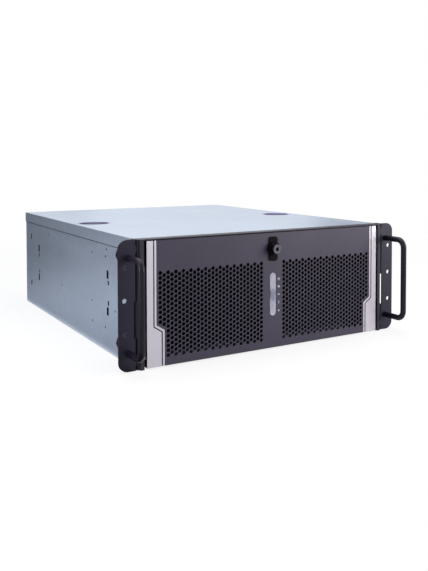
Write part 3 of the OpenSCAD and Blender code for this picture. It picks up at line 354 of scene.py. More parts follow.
resistLook = {"deep": "#0f3324", "pale": "#1d5a3c", "black": "#151619", "track": 1.2,
              "relief": 0.03, "patch": 22, "smudge": 8, "roughness": (0.28, 0.4)}
made["solderMask"] = solderMask("solderMask", resistLook)
made["boardResist"] = solderMask("boardResist", resistLook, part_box("pcie_slots")[0].z + 0.0002)

slotFinish = {
    "galvanised_steel": "galvanisedSheet", "charcoal_coat": "powderCoatCharcoal",
    "black_coat": "powderCoatBlack", "handle_coat": "enamelledRod", "silver_trim": "silverLacquer",
    "light_lens": "frostedAcrylic", "filter_foam": "filterFoam", "black_zinc": "blackZinc",
    "bright_zinc": "brightZinc", "lock_nickel": "blackNickel", "black_plastic": "mouldedAbs",
    "fan_plastic": "fanPbt", "rotor_plastic": "rotorPbt", "button_plastic": "keyPlastic",
    "rocker_plastic": "rockerPlastic", "circuit_board": "solderMask",
    "drive_casting": "sprayedCasting", "brass_standoff": "turnedBrass",
    "fin_aluminium": "pressedAluminium", "shroud_coat": "shroudEnamel", "psu_coat": "caseEnamel",
}
nodeFinish = {  # nodes whose finish differs from that of their slot
    "top_cover": "galvanisedCover", "chassis_tray": "galvanisedTray",
    "door_panel": "powderCoatDoor", "front_frame": "shadedFrameCoat",
    "lock_plate": "lockPaint", "motherboard": "boardResist",
}
for part in frame["record"]["subparts"]:
    finish = made[nodeFinish.get(part["node"], slotFinish[part["material_slot"]])]
    data = nodes[part["node"]].data
    data.materials.clear()
    data.materials.append(finish)
print("materials:", len(made))


def addBevel(shape, width, limit=30):
    bevel = shape.modifiers.new("edges", "BEVEL")
    bevel.width = width / 1000
    bevel.segments = 2
    bevel.limit_method = "ANGLE"
    bevel.angle_limit = math.radians(limit)


def softenEdges(name, width):
    # welds the part's triangles, keeps its corners sharp or rounds them, and shades curves smoothly
    part = nodes[name]
    part.data.polygons.foreach_set("use_smooth", [True] * len(part.data.polygons))
    part.modifiers.new("weld", "WELD").merge_threshold = 0.00001
    if width:
        addBevel(part, width, 40)
        part.modifiers.new("normals", "WEIGHTED_NORMAL").weight = 100
    else:
        part.modifiers.new("creases", "EDGE_SPLIT").split_angle = math.radians(32)


edgeWidths = {  # millimetres
    "door_trim_left": 0.25, "door_trim_right": 0.25, "door_strips": 0.25, "lock_plate": 0.5,
    "light_bar_lens": 0.4, "psu_inlet": 0.3, "psu_switch": 0.3, "drives": 0.5,
    "power_button": 0.4, "reset_button": 0.3, "lock_barrel": 0.3, "lock_cam": 0.2,
    "front_frame": 0.3, "door_frame": 0.25, "gpu_shrouds": 0.4,
}
for part in nodes:
    softenEdges(part, edgeWidths.get(part, 0))
print("edges rounded:", len(edgeWidths))


def pick(*shapes):
    # selects the shapes and makes the first one active
    bpy.ops.object.select_all(action="DESELECT")
    for shape in shapes:
        shape.select_set(True)
    bpy.context.view_layer.objects.active = shapes[0]


def applyModifiers(shape):
    pick(shape)
    for modifier in list(shape.modifiers):
        bpy.ops.object.modifier_apply(modifier=modifier.name)
    return shape


def rounded(shape, width):
    addBevel(shape, width)
    return applyModifiers(shape)


def block(low, high, bevel=0.0):
    # between two corners, in millimetres
    bpy.ops.mesh.primitive_cube_add(size=1, location=[(a + b) / 2000 for a, b in zip(low, high)])
    shape = bpy.context.object
    shape.scale = [(b - a) / 1000 for a, b in zip(low, high)]
    bpy.ops.object.transform_apply(location=False, rotation=False, scale=True)
    return rounded(shape, bevel) if bevel else shape


ways = {"+z": (0, 0, 0), "+y": (-math.pi / 2, 0, 0), "-y": (math.pi / 2, 0, 0)}


def turnTo(way, turn):
    # a rotation, and then the turn from +Z to one of the ways
    for angle, axis in zip(ways[way], "XYZ"):
        turn = Matrix.Rotation(angle, 3, axis) @ turn
    return turn


def disc(radius, start, length, way="+z", sides=32, bevel=0.0):
    # a round bar from a point along one of the ways, in millimetres
    middle = Vector(start) / 1000 + turnTo(way, Matrix.Identity(3)) @ Vector((0, 0, length / 2000))
    bpy.ops.mesh.primitive_cylinder_add(vertices=sides, radius=radius / 1000, depth=length / 1000,
                                        location=middle, rotation=ways[way])
    return rounded(bpy.context.object, bevel) if bevel else bpy.context.object


def upward(least=0.0):
    # a test for faces that look up and are larger than this, in square metres
    return lambda face: face.normal.z > 0.9 and face.area > least


def editFaces(shape, chosen, work):
    # runs edit-mode work on the faces whose own values pass a test
    pick(shape)
    bpy.ops.object.mode_set(mode="EDIT")
    bpy.ops.mesh.select_mode(type="FACE")
    bpy.ops.mesh.select_all(action="DESELECT")
    bpy.ops.object.mode_set(mode="OBJECT")
    for face in shape.data.polygons:
        face.select = chosen(face)
    bpy.ops.object.mode_set(mode="EDIT")
    work()
    bpy.ops.object.mode_set(mode="OBJECT")
    return shape


def sink(shape, chosen, rim, depth, each=False):
    # insets the chosen faces, then pushes what lies inside along their normals
    def work():
        bpy.ops.mesh.inset(thickness=rim / 1000, use_individual=each)
        bpy.ops.mesh.extrude_region_shrink_fatten(
            TRANSFORM_OT_shrink_fatten={"value": depth / 1000})
    return editFaces(shape, chosen, work)


def carve(shape, cutters):
    # cuts the joined cutters out of the shape and clears them away
    pick(*cutters)
    if len(cutters) > 1:
        bpy.ops.object.join()
    cutter = bpy.context.object
    cut = shape.modifiers.new("cut", "BOOLEAN")
    cut.operation = "DIFFERENCE"
    cut.solver = "EXACT"
    cut.use_self = True
    cut.object = cutter
    applyModifiers(shape)
    bpy.data.objects.remove(cutter)
    return shape


def copies(shape, places, way="+z", roll=None):
    # the shape, drawn upright at the origin, set down at each place in millimetres
    placed = []
    for place in places:
        pick(shape)
        bpy.ops.object.duplicate()
        copy = bpy.context.object
        turn = Matrix.Rotation(roll.uniform(0, math.tau) if roll else 0, 3, "Z")
        copy.rotation_euler = turnTo(way, turn).to_euler()
        copy.location = Vector(place) / 1000
        placed.append(copy)
    bpy.data.objects.remove(shape)
    return placed


def keep(name, shapes, slotName="black_plastic", finish=None, body="chassis"):
    # joins the shapes into one named piece that rides on a body, in its slot's finish or its own
    pick(*shapes)
    if len(shapes) > 1:
        bpy.ops.object.join()
    bpy.ops.object.transform_apply(location=True, rotation=True, scale=True)
    bpy.ops.object.shade_smooth_by_angle(angle=math.radians(30))
    piece = bpy.context.object
    piece.name = piece.data.name = name
    piece.data.materials.clear()
    piece.data.materials.append(made[finish or slotFinish[slotName]])
    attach(piece, body)


def corners(name):
    # a node's lowest and highest corners in millimetres
    return [[value * 1000 for value in corner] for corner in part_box(name)]


chance = random.Random(4)

# five generic marks printed on the door's middle strip, beside the light bar
markLook = {"x": 10.4, "heights": (103.7, 92.4, 81.1, 69.0, 56.5), "size": 1.8, "line": 0.6,
            "ink": 0.03}
doorFront = corners("door_panel")[0][1]


def ring(x, z, radius, sides=28, turn=0.0):
    # a printed outline, round or with few corners
    bpy.ops.mesh.primitive_circle_add(
        vertices=sides, radius=radius / 1000, fill_type="NGON",
        location=(x / 1000, doorFront / 1000, z / 1000), rotation=(math.pi / 2, turn, 0))
    shape = bpy.context.object

    def hollow():
        bpy.ops.mesh.inset(thickness=markLook["line"] / 1000)
        bpy.ops.mesh.delete(type="FACE")
    editFaces(shape, lambda face: True, hollow)
    shape.modifiers.new("ink", "SOLIDIFY").thickness = -markLook["ink"] / 1000
    return applyModifiers(shape)


def stroke(x0, z0, x1, z1):
    return block((x0, doorFront - markLook["ink"], z0), (x1, doorFront, z1))


def printMarks(look):
    # from the top: power, disk, link, heat and alarm
    x, r, half = look["x"], look["size"], look["line"] / 2
    power, disk, link, heat, bell = look["heights"]
    shapes = [
        ring(x, power, r), stroke(x - half, power + 0.2, x + half, power + r + 0.5),
        ring(x, disk, r), ring(x, disk, 0.75, 16),
        ring(x - 1.2, link - 1.1, 0.8, 4, math.pi / 4), ring(x + 1.2, link - 1.1, 0.8, 4, math.pi / 4),
        ring(x, link + 1.2, 0.8, 4, math.pi / 4), stroke(x - half, link - 0.9, x + half, link + 0.6),
        ring(x, heat - 1.0, 0.95, 20), stroke(x - half, heat - 0.3, x + half, heat + r + 0.3),
        stroke(x + 0.7, heat + 0.9, x + 1.5, heat + 1.3), ring(x, bell - 0.3, r + 0.3, 3),
        stroke(x - 0.2, bell - 0.8, x + 0.2, bell + 0.5)]
    keep("doorMarks", shapes, "silver_trim", "printedInk", "front_door")


printMarks(markLook)


def panHead(radius, height):
    # a domed screw head with a cross recess half as deep
    head = disc(radius, (0, 0, -0.05), height, sides=28, bevel=height * 0.35)
    arm, reach, floor = radius * 0.14, radius * 0.58, height / 2
    return carve(head, [block((-arm, -reach, floor), (arm, reach, height + 1)),
                        block((-reach, -arm, floor), (reach, arm, height + 1))])


def setScrews(name, radius, height, spots, way="+z", slotName="black_zinc"):
    # equal heads, each with its cross turned by chance
    keep(name, copies(panHead(radius, height), spots, way, chance), slotName)


def inside(low, high, first, second=None):
    # two places that keep their distance from the ends of a stretch
    return low + first, high - (first if second is None else second)


# a fan's rotor is 73/80 of its frame, and the frame's screws stand 0.875 of its width apart
screwLook = {"rotor": 73, "frame": 80, "span": 0.875, "boardX": 7, "boardY": 8, "supply": 8,
             "supplyFoot": 9, "braceX": 8, "braceY": 4}


def fixScrews(look):
    # every screw that holds boards, fans and the power supply
    low, high = corners("motherboard")
    left, right = inside(low[0], high[0], look["boardX"])
    front, rear = inside(low[1], high[1], look["boardY"])
    xs, ys = (left, (low[0] + high[0]) / 2, right), (rear, (low[1] + high[1]) / 2, front)
    boardTop = corners("pcie_slots")[0][2]
    spots = [(x, y, boardTop) for x in xs for y in ys if (x, y) != (xs[1], ys[0])]
    setScrews("boardScrews", 3, 2.1, spots, slotName="bright_zinc")
    spots = []
    for number in (1, 2):
        low, high = corners("rear_fan_rotor_%d" % number)
        reach = (high[2] - low[2]) / look["rotor"] * look["frame"] * look["span"] / 2
        spots += [((low[0] + high[0]) / 2 + a * reach, corners("chassis_tray")[1][1],
                   (low[2] + high[2]) / 2 + b * reach) for a in (-1, 1) for b in (-1, 1)]
    setScrews("rearFanScrews", 3.4, 2, spots, "+y")
    spots = []
    for number in (1, 2, 3):
        low, high = corners("fan_frame_%d" % number)
        inset = (high[0] - low[0]) * (1 - look["span"]) / 2
        spots += [(x, corners("front_panel")[0][1], z) for x in inside(low[0], high[0], inset)
                  for z in inside(low[2], high[2], inset)]
    setScrews("frontFanScrews", 3.6, 2, spots, "-y")
    low, high = corners("psu_case")
    spots = [(x, high[1], z) for x in inside(low[0], high[0], look["supply"])
             for z in inside(low[2], high[2], look["supplyFoot"], look["supply"])]
    setScrews("supplyScrews", 3.2, 1.4, spots, "+y")
    low, high = corners("card_brace")
    spots = [(x, y, high[2]) for x in inside(low[0], high[0], look["braceX"])
             for y in inside(low[1], high[1], look["braceY"])]
    setScrews("braceScrews", 2.8, 1.8, spots, slotName="bright_zinc")


fixScrews(screwLook)
print("screws and marks set")

# the fans' hubs: a turned-in dish with a blank foil disc; hub and rotor are parts of the frame
hubLook = {"rotor": 0.933, "hub": 0.19, "cover": 0.8, "rim": 0.07, "foil": 0.12, "pip": 1.6}


def coverHub(rotor, body, look):
    low, high = corners(rotor)
    middle = ((low[0] + high[0]) / 2, low[1], (low[2] + high[2]) / 2)
    hub = (high[2] - low[2]) / look["rotor"] * look["hub"]
    radius = hub * look["cover"]
    foil = disc(radius, middle, look["foil"], "-y", 40)
    sink(foil, lambda face: face.area > 0.3 * math.pi * (radius / 1000) ** 2,
         hub * look["rim"], -0.04)
    pip = disc(look["pip"], middle, look["foil"] * 1.5, "-y", 20)
    keep(rotor.replace("rotor", "foil"), [foil, pip], "bright_zinc", "hubFoil", body)


for number in (1, 2, 3):
    coverHub("fan_rotor_%d" % number, "front_fan_%d" % number, hubLook)
for number in (1, 2):
    coverHub("rear_fan_rotor_%d" % number, "rear_fan_%d" % number, hubLook)
coverHub("cpu_fan_rotor", "cpu_fan", hubLook)
print("hubs covered")

# main board: sockets, regulators, headers and small parts
boardLook = {"sticks": 4, "stickPitch": 9.0, "phases": 8, "finPitch": 4.2, "finWidth": 1.2,
             "legPitch": 1.27, "pinPitch": 2.54, "specks": 70}


def gridBlock(low, high, columns, rows, rim, depth):
    # a connector body whose top is divided into sunk cells
    bpy.ops.mesh.primitive_grid_add(
        x_subdivisions=columns, y_subdivisions=rows, size=1,
        location=[(low[0] + high[0]) / 2000, (low[1] + high[1]) / 2000, high[2] / 1000])
    shape = bpy.context.object
    shape.scale = ((high[0] - low[0]) / 1000, (high[1] - low[1]) / 1000, 1)
    bpy.ops.object.transform_apply(location=False, rotation=False, scale=True)
    shape.modifiers.new("body", "SOLIDIFY").thickness = (high[2] - low[2]) / 1000
    applyModifiers(shape)
    return sink(shape, upward(), rim, -depth, each=True)


def fitSockets(x, y0, y1, top):
    # moulded shells over the memory sockets, with a latch at each end
    shells, latches = [], []
    for number in range(boardLook["sticks"]):
        shell = block((x - 3.95, y0, top - 0.1), (x + 1.75, y1, top + 7.15), 0.3)
        shells.append(carve(shell, [block((x - 1.9, y0 + 4, top + 5), (x - 0.3, y1 - 4, top + 9))]))
        for y in (y0 + 0.4, y1 - 3.4):
            lever = block((x - 2.7, y, top + 6), (x + 0.5, y + 3, top + 14), 0.5)
            latches.append(sink(lever, upward(), 0.5, -0.6))
        x -= boardLook["stickPitch"]
    keep("memorySockets", shells)
    keep("memoryLatches", latches, "fan_plastic", "latchNylon")


def fitRegulators(x0, x1, y, top):
    # a row of chokes and of polymer capacitors in front of a finned cooler
    phases, pitch = boardLook["phases"], boardLook["finPitch"]
    step = (x1 - x0) / phases
    choke = sink(block((-4.6, -4.6, -0.1), (4.6, 4.6, 6.8), 0.9), upward(), 0.5, -0.25)
    keep("boardChokes", copies(choke, [(x0 + step * (k + 0.5), y, top) for k in range(phases)]),
         "shroud_coat", "ferriteGrey")
    can = disc(3.3, (0, 0, -0.1), 8.4, "+z", 28, 0.5)
    sink(can, upward(0.00001), 0.5, -0.15)
    spots = [(x0 + step * (k + 0.5) * 0.8 + 8, y + 10.5, top) for k in range(phases + 2)]
    keep("boardCapacitors", copies(can, spots), "bright_zinc")
    base = block((x0, y + 17, top - 0.1), (x1, y + 37, top + 6), 0.4)
    starts = [x0 + 0.8 + pitch * k for k in range(int((x1 - x0) / pitch))]
    fins = [block((x, y + 17.2, top + 5), (x + boardLook["finWidth"], y + 36.8, top + 22), 0.2)
            for x in starts]
    keep("regulatorCooler", [base] + fins, "fin_aluminium", "blackAnodise")


def legRow(count, pitch):
    # gull-wing legs along X, made once and repeated
    leg = block((-0.2, 0, 0), (0.2, 1.3, 0.2))
    editFaces(leg, lambda face: face.normal.y < -0.9, lambda: bpy.ops.mesh.extrude_region_move(
        TRANSFORM_OT_translate={"value": (0, -0.0005, 0.0009)}))
    rows = leg.modifiers.new("row", "ARRAY")
    rows.use_relative_offset = False
    rows.use_constant_offset = True
    rows.constant_offset_displace = (pitch / 1000, 0, 0)
    rows.count = count
    return applyModifiers(leg)


def fitChips(chips, top):
    # flat chips with a dimple at pin 1 and legs on all four sides
    bodies, legs = [], []
    pitch = boardLook["legPitch"]
    for x, y, size in chips:
        half, mark = size / 2, size * 0.36
        bodies.append(block((x - half, y - half, top + 0.15), (x + half, y + half, top + 1.7), 0.12))
        bodies.append(sink(disc(0.7, (x - mark, y - mark, top + 1.6), 0.14, "+z", 16),
                           upward(), 0.2, -0.1))
        count = int((size - 2) / pitch)
        for quarter in range(4):
            row = legRow(count, pitch)
            turn = Matrix.Rotation(quarter * math.pi / 2, 3, "Z")
            shift = turn @ Vector((-(count - 1) / 2 * pitch, half + 0.3, 0))
            row.rotation_euler = (0, 0, quarter * math.pi / 2)
            row.location = (Vector((x, y, top)) + shift) / 1000
            legs.append(row)
    keep("boardChips", bodies, finish="chipEpoxy")
    keep("boardLegs", legs, "bright_zinc")


def fitHeaders(x1, y0, top):
    # the power inlet, drive ports, pin headers and the clock's battery, from the board's corner
    base, pitch = top - 0.1, boardLook["pinPitch"]
    keep("boardPower", [
        gridBlock((x1 - 11, y0 + 30, base), (x1 - 1.2, y0 + 82, top + 12), 2, 12, 0.55, 7),
        block((x1 - 1.5, y0 + 53, top + 5), (x1 - 0.2, y0 + 59, top + 8), 0.3)])
    keep("drivePorts", [gridBlock((x, y0 + 2, base), (x + 15, y0 + 12, top + 11), 1, 2, 0.9, 6)
                        for x in (-30, -13, 4, 21)], "fan_plastic", "portNylon")
    pin = block((-0.32, -0.32, 0), (0.32, 0.32, 8.2), 0.12)
    spots = [(x1 - 62 + pitch * k, y0 + 4 + pitch * row, top) for k in range(10) for row in (0, 1)]
    keep("headerPins", copies(pin, spots), "brass_standoff")
    keep("headerBase", [gridBlock((x1 - 63.4, y0 + 2.7, base), (x1 - 37.8, y0 + 7.9, top + 2.5),
                                  10, 2, 0.5, 0.4)])
    x, y = x1 - 40, y0 + 44
    seat = sink(disc(11.4, (x, y, base), 3.4, "+z", 48, 0.4), upward(0.0001), 1.2, -1.6)
    keep("cellHolder", [seat, block((x + 8, y - 3, top), (x + 13.5, y + 3, top + 4.6), 0.5)])
    cell = sink(disc(10, (x, y, top + 1.8), 3.0, "+z", 64, 0.5), upward(0.0001), 1.0, -0.25)
    keep("clockCell", [cell], "bright_zinc")


def scatterSpecks(low, high, top, taken):
    # chip capacitors and resistors, strewn over the free parts of the board
    speck = block((-0.8, -0.45, -0.02), (0.8, 0.45, 0.6), 0.1)
    spots = []
    while len(spots) < boardLook["specks"]:
        x = chance.uniform(low[0] + 8, high[0] - 8)
        y = chance.uniform(low[1] + 8, high[1] - 24)
        if all(not (a - 2 < x < c + 2 and b - 2 < y < d + 2) for a, b, c, d in taken):
            spots.append((x, y, top))
    keep("boardSpecks", copies(speck, spots), "fan_plastic", "ceramicTan")


def fitBoard():
    low, high = corners("motherboard")
    sticks, slots, cooler = (corners(name) for name in ("memory_modules", "pcie_slots", "cpu_heatsink"))
    ports = corners("io_connectors")[0][1]
    top = slots[0][2]
    fitSockets(sticks[1][0] + 0.8, sticks[0][1] - 5.2, sticks[1][1] + 4.2, top)
    fitRegulators(cooler[0][0] + 2, cooler[1][0] - 2, cooler[1][1] + 12, top)
    chips = [(-24, low[1] + 30, 16), (40, low[1] + 34, 20), (70, low[1] + 62, 12),
             (-28, ports - 12, 12), (108, ports - 30, 9)]
    fitChips(chips, top)
    fitHeaders(high[0], low[1], top)
    # rectangles, by their corners, that the small parts keep clear of
    taken = [(slots[0][0], slots[0][1], slots[1][0], slots[1][1]),
             (sticks[0][0] - 5, sticks[0][1] - 6, sticks[1][0] + 3, sticks[1][1] + 6),
             (cooler[0][0] + 20, cooler[0][1], cooler[1][0] - 20, cooler[1][1]),
             (cooler[0][0], cooler[1][1] + 4, cooler[1][0], ports),
             (high[0] - 66, low[1], high[0], low[1] + 86),
             (-34, low[1], 40, low[1] + 14), (-112, 78, -70, 120)]
    taken += [(x - s, y - s, x + s, y + s) for x, y, s in chips]
    scatterSpecks(low, high, top, taken)


fitBoard()
print("board fitted")

# rear sockets: tongues and contacts inside the connector shells
portLook = {"recess": 9.05, "depth": 7.5, "rise": 15, "flatEnd": 50, "pinPitch": 1.02,
            "holePitch": 1.9}


def fitPorts(look):
    low, high = corners("io_connectors")
    x0, back, base = low[0] - 8, high[1] - look["recess"], low[2]
    front = back + look["depth"]
    tongues, contacts = [], []
    for x, tall in ((16, 2), (40, 2), (64, 2), (92.5, 1)):
        middle = x0 + x
        for level in range(tall):
            z = base + 2 + look["rise"] * level
            if x < look["flatEnd"]:  # four wide contacts under a thin tongue
                tongues.append(block((middle - 5.4, back, z + 5.4),
                                     (middle + 5.4, front, z + 7.4), 0.25))
                contacts += [block((middle + offset - 0.6, back, z + 5.25),
                                   (middle + offset + 0.6, front - 1, z + 5.45))
                             for offset in (-3.4, -1.1, 1.1, 3.4)]
            else:  # eight narrow ones
                tongues.append(block((middle - 4.4, back, z + 8.2),
                                     (middle + 4.4, front, z + 9.9), 0.2))
                contacts += [block((middle - 3.75 + look["pinPitch"] * k, back, z + 6.9),
                                   (middle - 3.4 + look["pinPitch"] * k, back + 6, z + 8.25))
                             for k in range(8)]
    middle, z = x0 + 126, base + 7
    shell = block((middle - 13, back, z - 3.2), (middle + 13, back + 7, z + 3.2), 1.0)
    holes = [disc(0.65, (middle + look["holePitch"] * (k + (row - 11) / 2) + 0.95, back + 5,
                         z + 1.3 - 2.6 * row), 4, "+y", 10)
             for row in (0, 1) for k in range(12 - row)]
    tongues.append(carve(shell, holes))
    keep("portTongues", tongues)
    keep("portContacts", contacts, "brass_standoff", "goldFlash")


fitPorts(portLook)

# cards: power sockets, stiffening ribs and the shrouds' screws
cardLook = {"cards": 3, "pitch": 40.64, "rib": 0.8, "ribWidth": 2.4, "ribs": (8, 16, 24, 32)}


def dressCards(look):
    low, high = corners("gpu_shrouds")
    edge, top, half = corners("gpu_boards")[1][0] - 0.8, high[2], look["ribWidth"] / 2
    sockets, ribs, spots = [], [], []
    for number in range(look["cards"]):
        x = edge - look["pitch"] * number
        sockets.append(gridBlock((x - 13, low[1] + 52, top - 0.2), (x - 2.2, low[1] + 72, top + 8),
                                 2, 4, 0.6, 5))
        ribs += [block((x - shift - half, low[1] + 82, top - 0.1),
                       (x - shift + half, high[1] - 20, top + look["rib"]), 0.3)
                 for shift in look["ribs"]]
        spots += [(x - shift, y, top) for shift in (5, 34) for y in inside(low[1], high[1], 7, 12)]
    keep("cardSockets", sockets)
    keep("cardRibs", ribs, "shroud_coat")
    setScrews("cardScrews", 2.4, 1.1, spots)
    low, high = corners("gpu_brackets")
    last = corners("slot_covers")[0][0]
    spots = [(x, (low[1] + high[1]) / 2 - 0.5, high[2])
             for x in (edge - look["pitch"] / 2 * k - 3 for k in range(7)) if x > last]
    setScrews("slotScrews", 3.4, 2.2, spots, slotName="bright_zinc")


dressCards(cardLook)

# drives: blank foil plates, lid screws and the plug blocks at their backs
driveLook = {"width": 101.6, "foil": 0.15, "margin": 13, "screw": 5}


def dressDrives(look):
    low, high = corners("drives")
    width, margin, top = look["width"], look["margin"], high[2]
    plates, plugs, spots = [], [], []
    for x in (low[0], high[0] - width):
        plate = block((x + margin, low[1] + 18, top - 0.05),
                      (x + width - margin, high[1] - 32, top + look["foil"]))
        plates.append(sink(rounded(plate, 0.06), upward(0.001), 1.5, -0.05))
        spots += [(x + a, y, top - 0.2) for a in (look["screw"], width - look["screw"])
                  for y in (low[1] + 6, (low[1] + high[1]) / 2, high[1] - 6)]
        body = block((x + 20, high[1] - 0.1, low[2] + 2), (x + 62, high[1] + 3.5, low[2] + 8), 0.3)
        plugs.append(carve(body, [
            block((x + a, high[1] + 1, low[2] + 3.4), (x + b, high[1] + 5, low[2] + 6.4))
            for a, b in ((21.5, 42), (44, 60.5))]))
    keep("drivePlates", plates, "bright_zinc", "hubFoil")
    keep("drivePlugs", plugs)
    setScrews("driveScrews", 2.6, 0.9, spots, slotName="bright_zinc")


dressDrives(driveLook)

# power supply: lid screws, a blank rating plate and the sockets for its leads
supplyLook = {"columns": 3, "rows": 4, "acrossPitch": 24, "downPitch": 20, "foil": 0.15,
              "cell": 3.4, "cellAcross": 4.3, "cellUp": 4.4}


def leadSocket(x, y, z, look):
    # a block with two rows of four square cells
    body = block((x, y - 3, z), (x + 20, y + 0.1, z + 11), 0.4)
    cells = [(x + 1.6 + look["cellAcross"] * k, z + 1.4 + look["cellUp"] * row)
             for k in range(4) for row in (0, 1)]
    return carve(body, [block((a, y - 5, b), (a + look["cell"], y - 0.8, b + look["cell"]))
                        for a, b in cells])


def dressSupply(look):
    low, high = corners("psu_case")
    spots = [(x, y, high[2]) for x in inside(low[0], high[0], 6)
             for y in inside(low[1], high[1], 7, 10)]
    setScrews("supplyLidScrews", 2.6, 1.2, spots)
    plate = block((low[0] + 14, low[1] + 30, high[2] - 0.05),
                  (high[0] - 14, high[1] - 45, high[2] + look["foil"]))
    plate = sink(rounded(plate, 0.06), upward(0.001), 1.5, -0.05)
    keep("supplyPlate", [plate], "bright_zinc", "hubFoil")
    sockets = [leadSocket(low[0] + 9 + look["acrossPitch"] * column, low[1],
                          high[2] - 26 - look["downPitch"] * row, look)
               for row in range(look["rows"]) for column in range(look["columns"])]
    keep("supplySockets", sockets)


dressSupply(supplyLook)
print("cards, drives and supply dressed")

# metres, degrees and millimetres
cameraLook = {"place": (-0.5885, -1.171, 0.2858), "yaw": 32.45, "pitch": -2.087, "roll": 0.039,
              "sensor": 36, "lens": 45.297, "shift": (-0.0792, -0.1789)}


def aimCamera(look):
    # turned right from the +Y axis by yaw, and up by pitch
    bpy.ops.object.camera_add(location=look["place"])
    camera = bpy.context.object
    yaw, pitch, roll = (math.radians(look[turn]) for turn in ("yaw", "pitch", "roll"))
    ahead = Vector((math.sin(yaw) * math.cos(pitch), math.cos(yaw) * math.cos(pitch),
                    math.sin(pitch)))
    right = Vector((math.cos(yaw), -math.sin(yaw), 0))
    turned = Matrix((right, right.cross(ahead), -ahead)).transposed()
    camera.rotation_euler = (turned @ Matrix.Rotation(roll, 3, "Z")).to_euler()
    camera.data.sensor_width = look["sensor"]
    camera.data.lens = look["lens"]
    camera.data.shift_x, camera.data.shift_y = look["shift"]
    bpy.context.scene.camera = camera


aimCamera(cameraLook)

floorLook = {"size": 16, "drop": 0.0005, "deep": "#f4f4f5", "pale": "#fafafb", "patch": 40,
             "bounce": "#74767c", "near": 0.4, "far": 1.5, "liftNear": 0.8, "liftFar": 1.0}


def paperFloor(name, look):
    # white studio paper: matt, and lifted to white wherever the camera or a polished part sees it
    material, tree, shader, place = startMaterial(name, Roughness=0.9)
    paper = twoTone(tree, mottle(tree, place, look["patch"], 0, 1), look)
    rays = addNode(tree, "LightPath").outputs
    # it throws little light back up at the steel
    paper = addNode(tree, "Mix", {"data_type": "RGBA", 7: hexColour(look["bounce"])},
                    {0: rays["Is Diffuse Ray"], 6: paper}).outputs[2]
    tree.links.new(paper, shader.inputs["Base Color"])
    seen = addNode(tree, "Math", {"operation": "MAXIMUM"},
                   {0: rays["Is Camera Ray"], 1: rays["Is Glossy Ray"]}).outputs[0]
    lift = addNode(tree, "Emission")
    away = addNode(tree, "VectorMath", {"operation": "LENGTH"}, {0: place}).outputs["Value"]
    reach = addNode(tree, "MapRange", {
        "From Min": look["near"], "From Max": look["far"], "To Min": look["liftNear"],
        "To Max": look["liftFar"]}, {"Value": away}).outputs["Result"]
    share = addNode(tree, "Math", {"operation": "MULTIPLY"}, {0: seen, 1: reach}).outputs[0]
    both = addNode(tree, "MixShader", {}, {0: share, 1: shader.outputs[0], 2: lift.outputs[0]})
    tree.links.new(both.outputs[0], tree.nodes["Material Output"].inputs["Surface"])
    return material


clothPatch = 30  # millimetres
# dark cards that only polished surfaces see: beside the steel side, and behind the cover
flags = {
    "sideFlagLow": {"place": (-1.436, 0.9, 0.0), "size": (2.43, 2.6), "turn": (0, 0, 0),
                    "deep": "#17191c", "pale": "#202327", "spot": (0.98, -0.72), "reach": 0.72,
                    "glow": "#b6b9be"},
    "sideFlagHigh": {"place": (-1.4, 1.9, 0.6), "size": (3.0, 1.2), "turn": (90, 0, 35),
                     "deep": "#1c1e22", "pale": "#25282c"},
    "coverFlagRear": {"place": (-0.1, 2.28, 0.05), "size": (1.4, 0.8), "turn": (90, 0, -30),
                      "deep": "#25282c", "pale": "#2c3035"},
    "coverFlagRight": {"place": (2.07, 1.02, 0.35), "size": (1.6, 1.2), "turn": (90, 0, -30),
                       "deep": "#1c1e22", "pale": "#25282c"},
}


def darkCloth(name, card):
    # matt dark cloth, uneven, with a pool of light on it where the card has a spot
    material, tree, shader, place = startMaterial(name, Roughness=1.0)
    colour = twoTone(tree, mottle(tree, place, clothPatch, 0, 1), card)
    if "spot" in card:
        away = addNode(tree, "VectorMath", {"operation": "DISTANCE", 1: (*card["spot"], 0)},
                       {0: place}).outputs["Value"]
        lit = addNode(tree, "MapRange", {"interpolation_type": "SMOOTHSTEP", "From Max": card["reach"],
                                         "To Min": 1.0, "To Max": 0.0}, {"Value": away})
        colour = addNode(tree, "Mix", {"data_type": "RGBA", 7: hexColour(card["glow"])},
                         {0: lit.outputs["Result"], 6: colour}).outputs[2]
    tree.links.new(colour, shader.inputs["Base Color"])
    return material


def standSet():
    bpy.ops.mesh.primitive_plane_add(size=floorLook["size"], location=(0, 0, -floorLook["drop"]))
    floor = bpy.context.object
    floor.name = "studioFloor"
    floor.data.materials.append(paperFloor("studioPaper", floorLook))
    for name, card in flags.items():
        bpy.ops.mesh.primitive_grid_add(x_subdivisions=4, y_subdivisions=4, size=1,
                                        location=card["place"])
        flag = bpy.context.object
        flag.name = name
        flag.scale = (*card["size"], 1)
        flag.rotation_euler = [math.radians(angle) for angle in card["turn"]]
        bpy.ops.object.transform_apply(location=False, rotation=False, scale=True)
        flag.data.materials.append(darkCloth(name + "Cloth", card))
        for ray in ("camera", "diffuse", "shadow", "transmission"):
            setattr(flag, "visible_" + ray, False)


standSet()

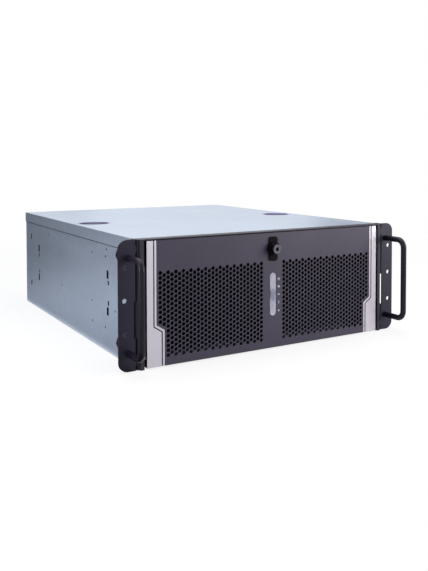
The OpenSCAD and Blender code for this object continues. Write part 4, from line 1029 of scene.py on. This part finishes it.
lamps = {
    "overhead": {"place": (-0.1, 0.1, 2.2), "size": 2.4, "watts": 46, "colour": "#f4f8ff",
                 "aim": (0, 0, 0.09)},
    "frontRight": {"place": (0.95, -1.05, 0.5), "size": 0.8, "watts": 13, "colour": "#fff8fa",
                   "aim": (0, 0, 0.09), "spares": ("top_cover", "cpu_heatsink", "drives",
                                                   "drivePlates", "drive_cage", "psu_case")},
    "leftFill": {"place": (-0.82, -0.25, 0.22), "size": 0.36, "watts": 2.7, "colour": "#f2f6ff",
                 "aim": (-0.215, -0.12, 0.08)},
}


def hangLamp(name, lamp):
    bpy.ops.object.light_add(type="AREA", location=lamp["place"])
    light = bpy.context.object
    light.name = name
    light.data.size = lamp["size"]
    light.data.energy = lamp["watts"]
    light.data.color = hexColour(lamp["colour"])[:3]
    aim = Vector(lamp["aim"]) - Vector(lamp["place"])
    light.rotation_euler = aim.to_track_quat("-Z", "Y").to_euler()
    if "spares" in lamp:  # kept off flat metal that would mirror the lamp as a white patch
        spared = bpy.data.collections.new(name + "Spares")
        for piece in lamp["spares"]:
            spared.objects.link(bpy.data.objects[piece])
        light.light_linking.receiver_collection = spared
        for link in spared.collection_objects:
            link.light_linking.link_state = "EXCLUDE"


for name, lamp in lamps.items():
    hangLamp(name, lamp)

skyLook = {"surfaces": 0.27, "seen": 1.0}


def lightWorld(look):
    # even sky light for the surfaces, and plain white for what the camera and the metal see
    world = bpy.data.worlds.new("studioWorld")
    bpy.context.scene.world = world
    world.use_nodes = True
    tree = world.node_tree
    rays = addNode(tree, "LightPath").outputs
    seen = rays["Is Camera Ray"]
    for kind in ("Is Glossy Ray", "Is Transmission Ray"):
        seen = addNode(tree, "Math", {"operation": "MAXIMUM"}, {0: seen, 1: rays[kind]}).outputs[0]
    level = addNode(tree, "MapRange", {"To Min": look["surfaces"], "To Max": look["seen"]},
                    {"Value": seen})
    sky = tree.nodes["Background"].inputs
    sky["Color"].default_value = (1, 1, 1, 1)
    tree.links.new(level.outputs["Result"], sky["Strength"])


lightWorld(skyLook)
bpy.context.scene.view_settings.view_transform = "Standard"
print("stage and lamps set")
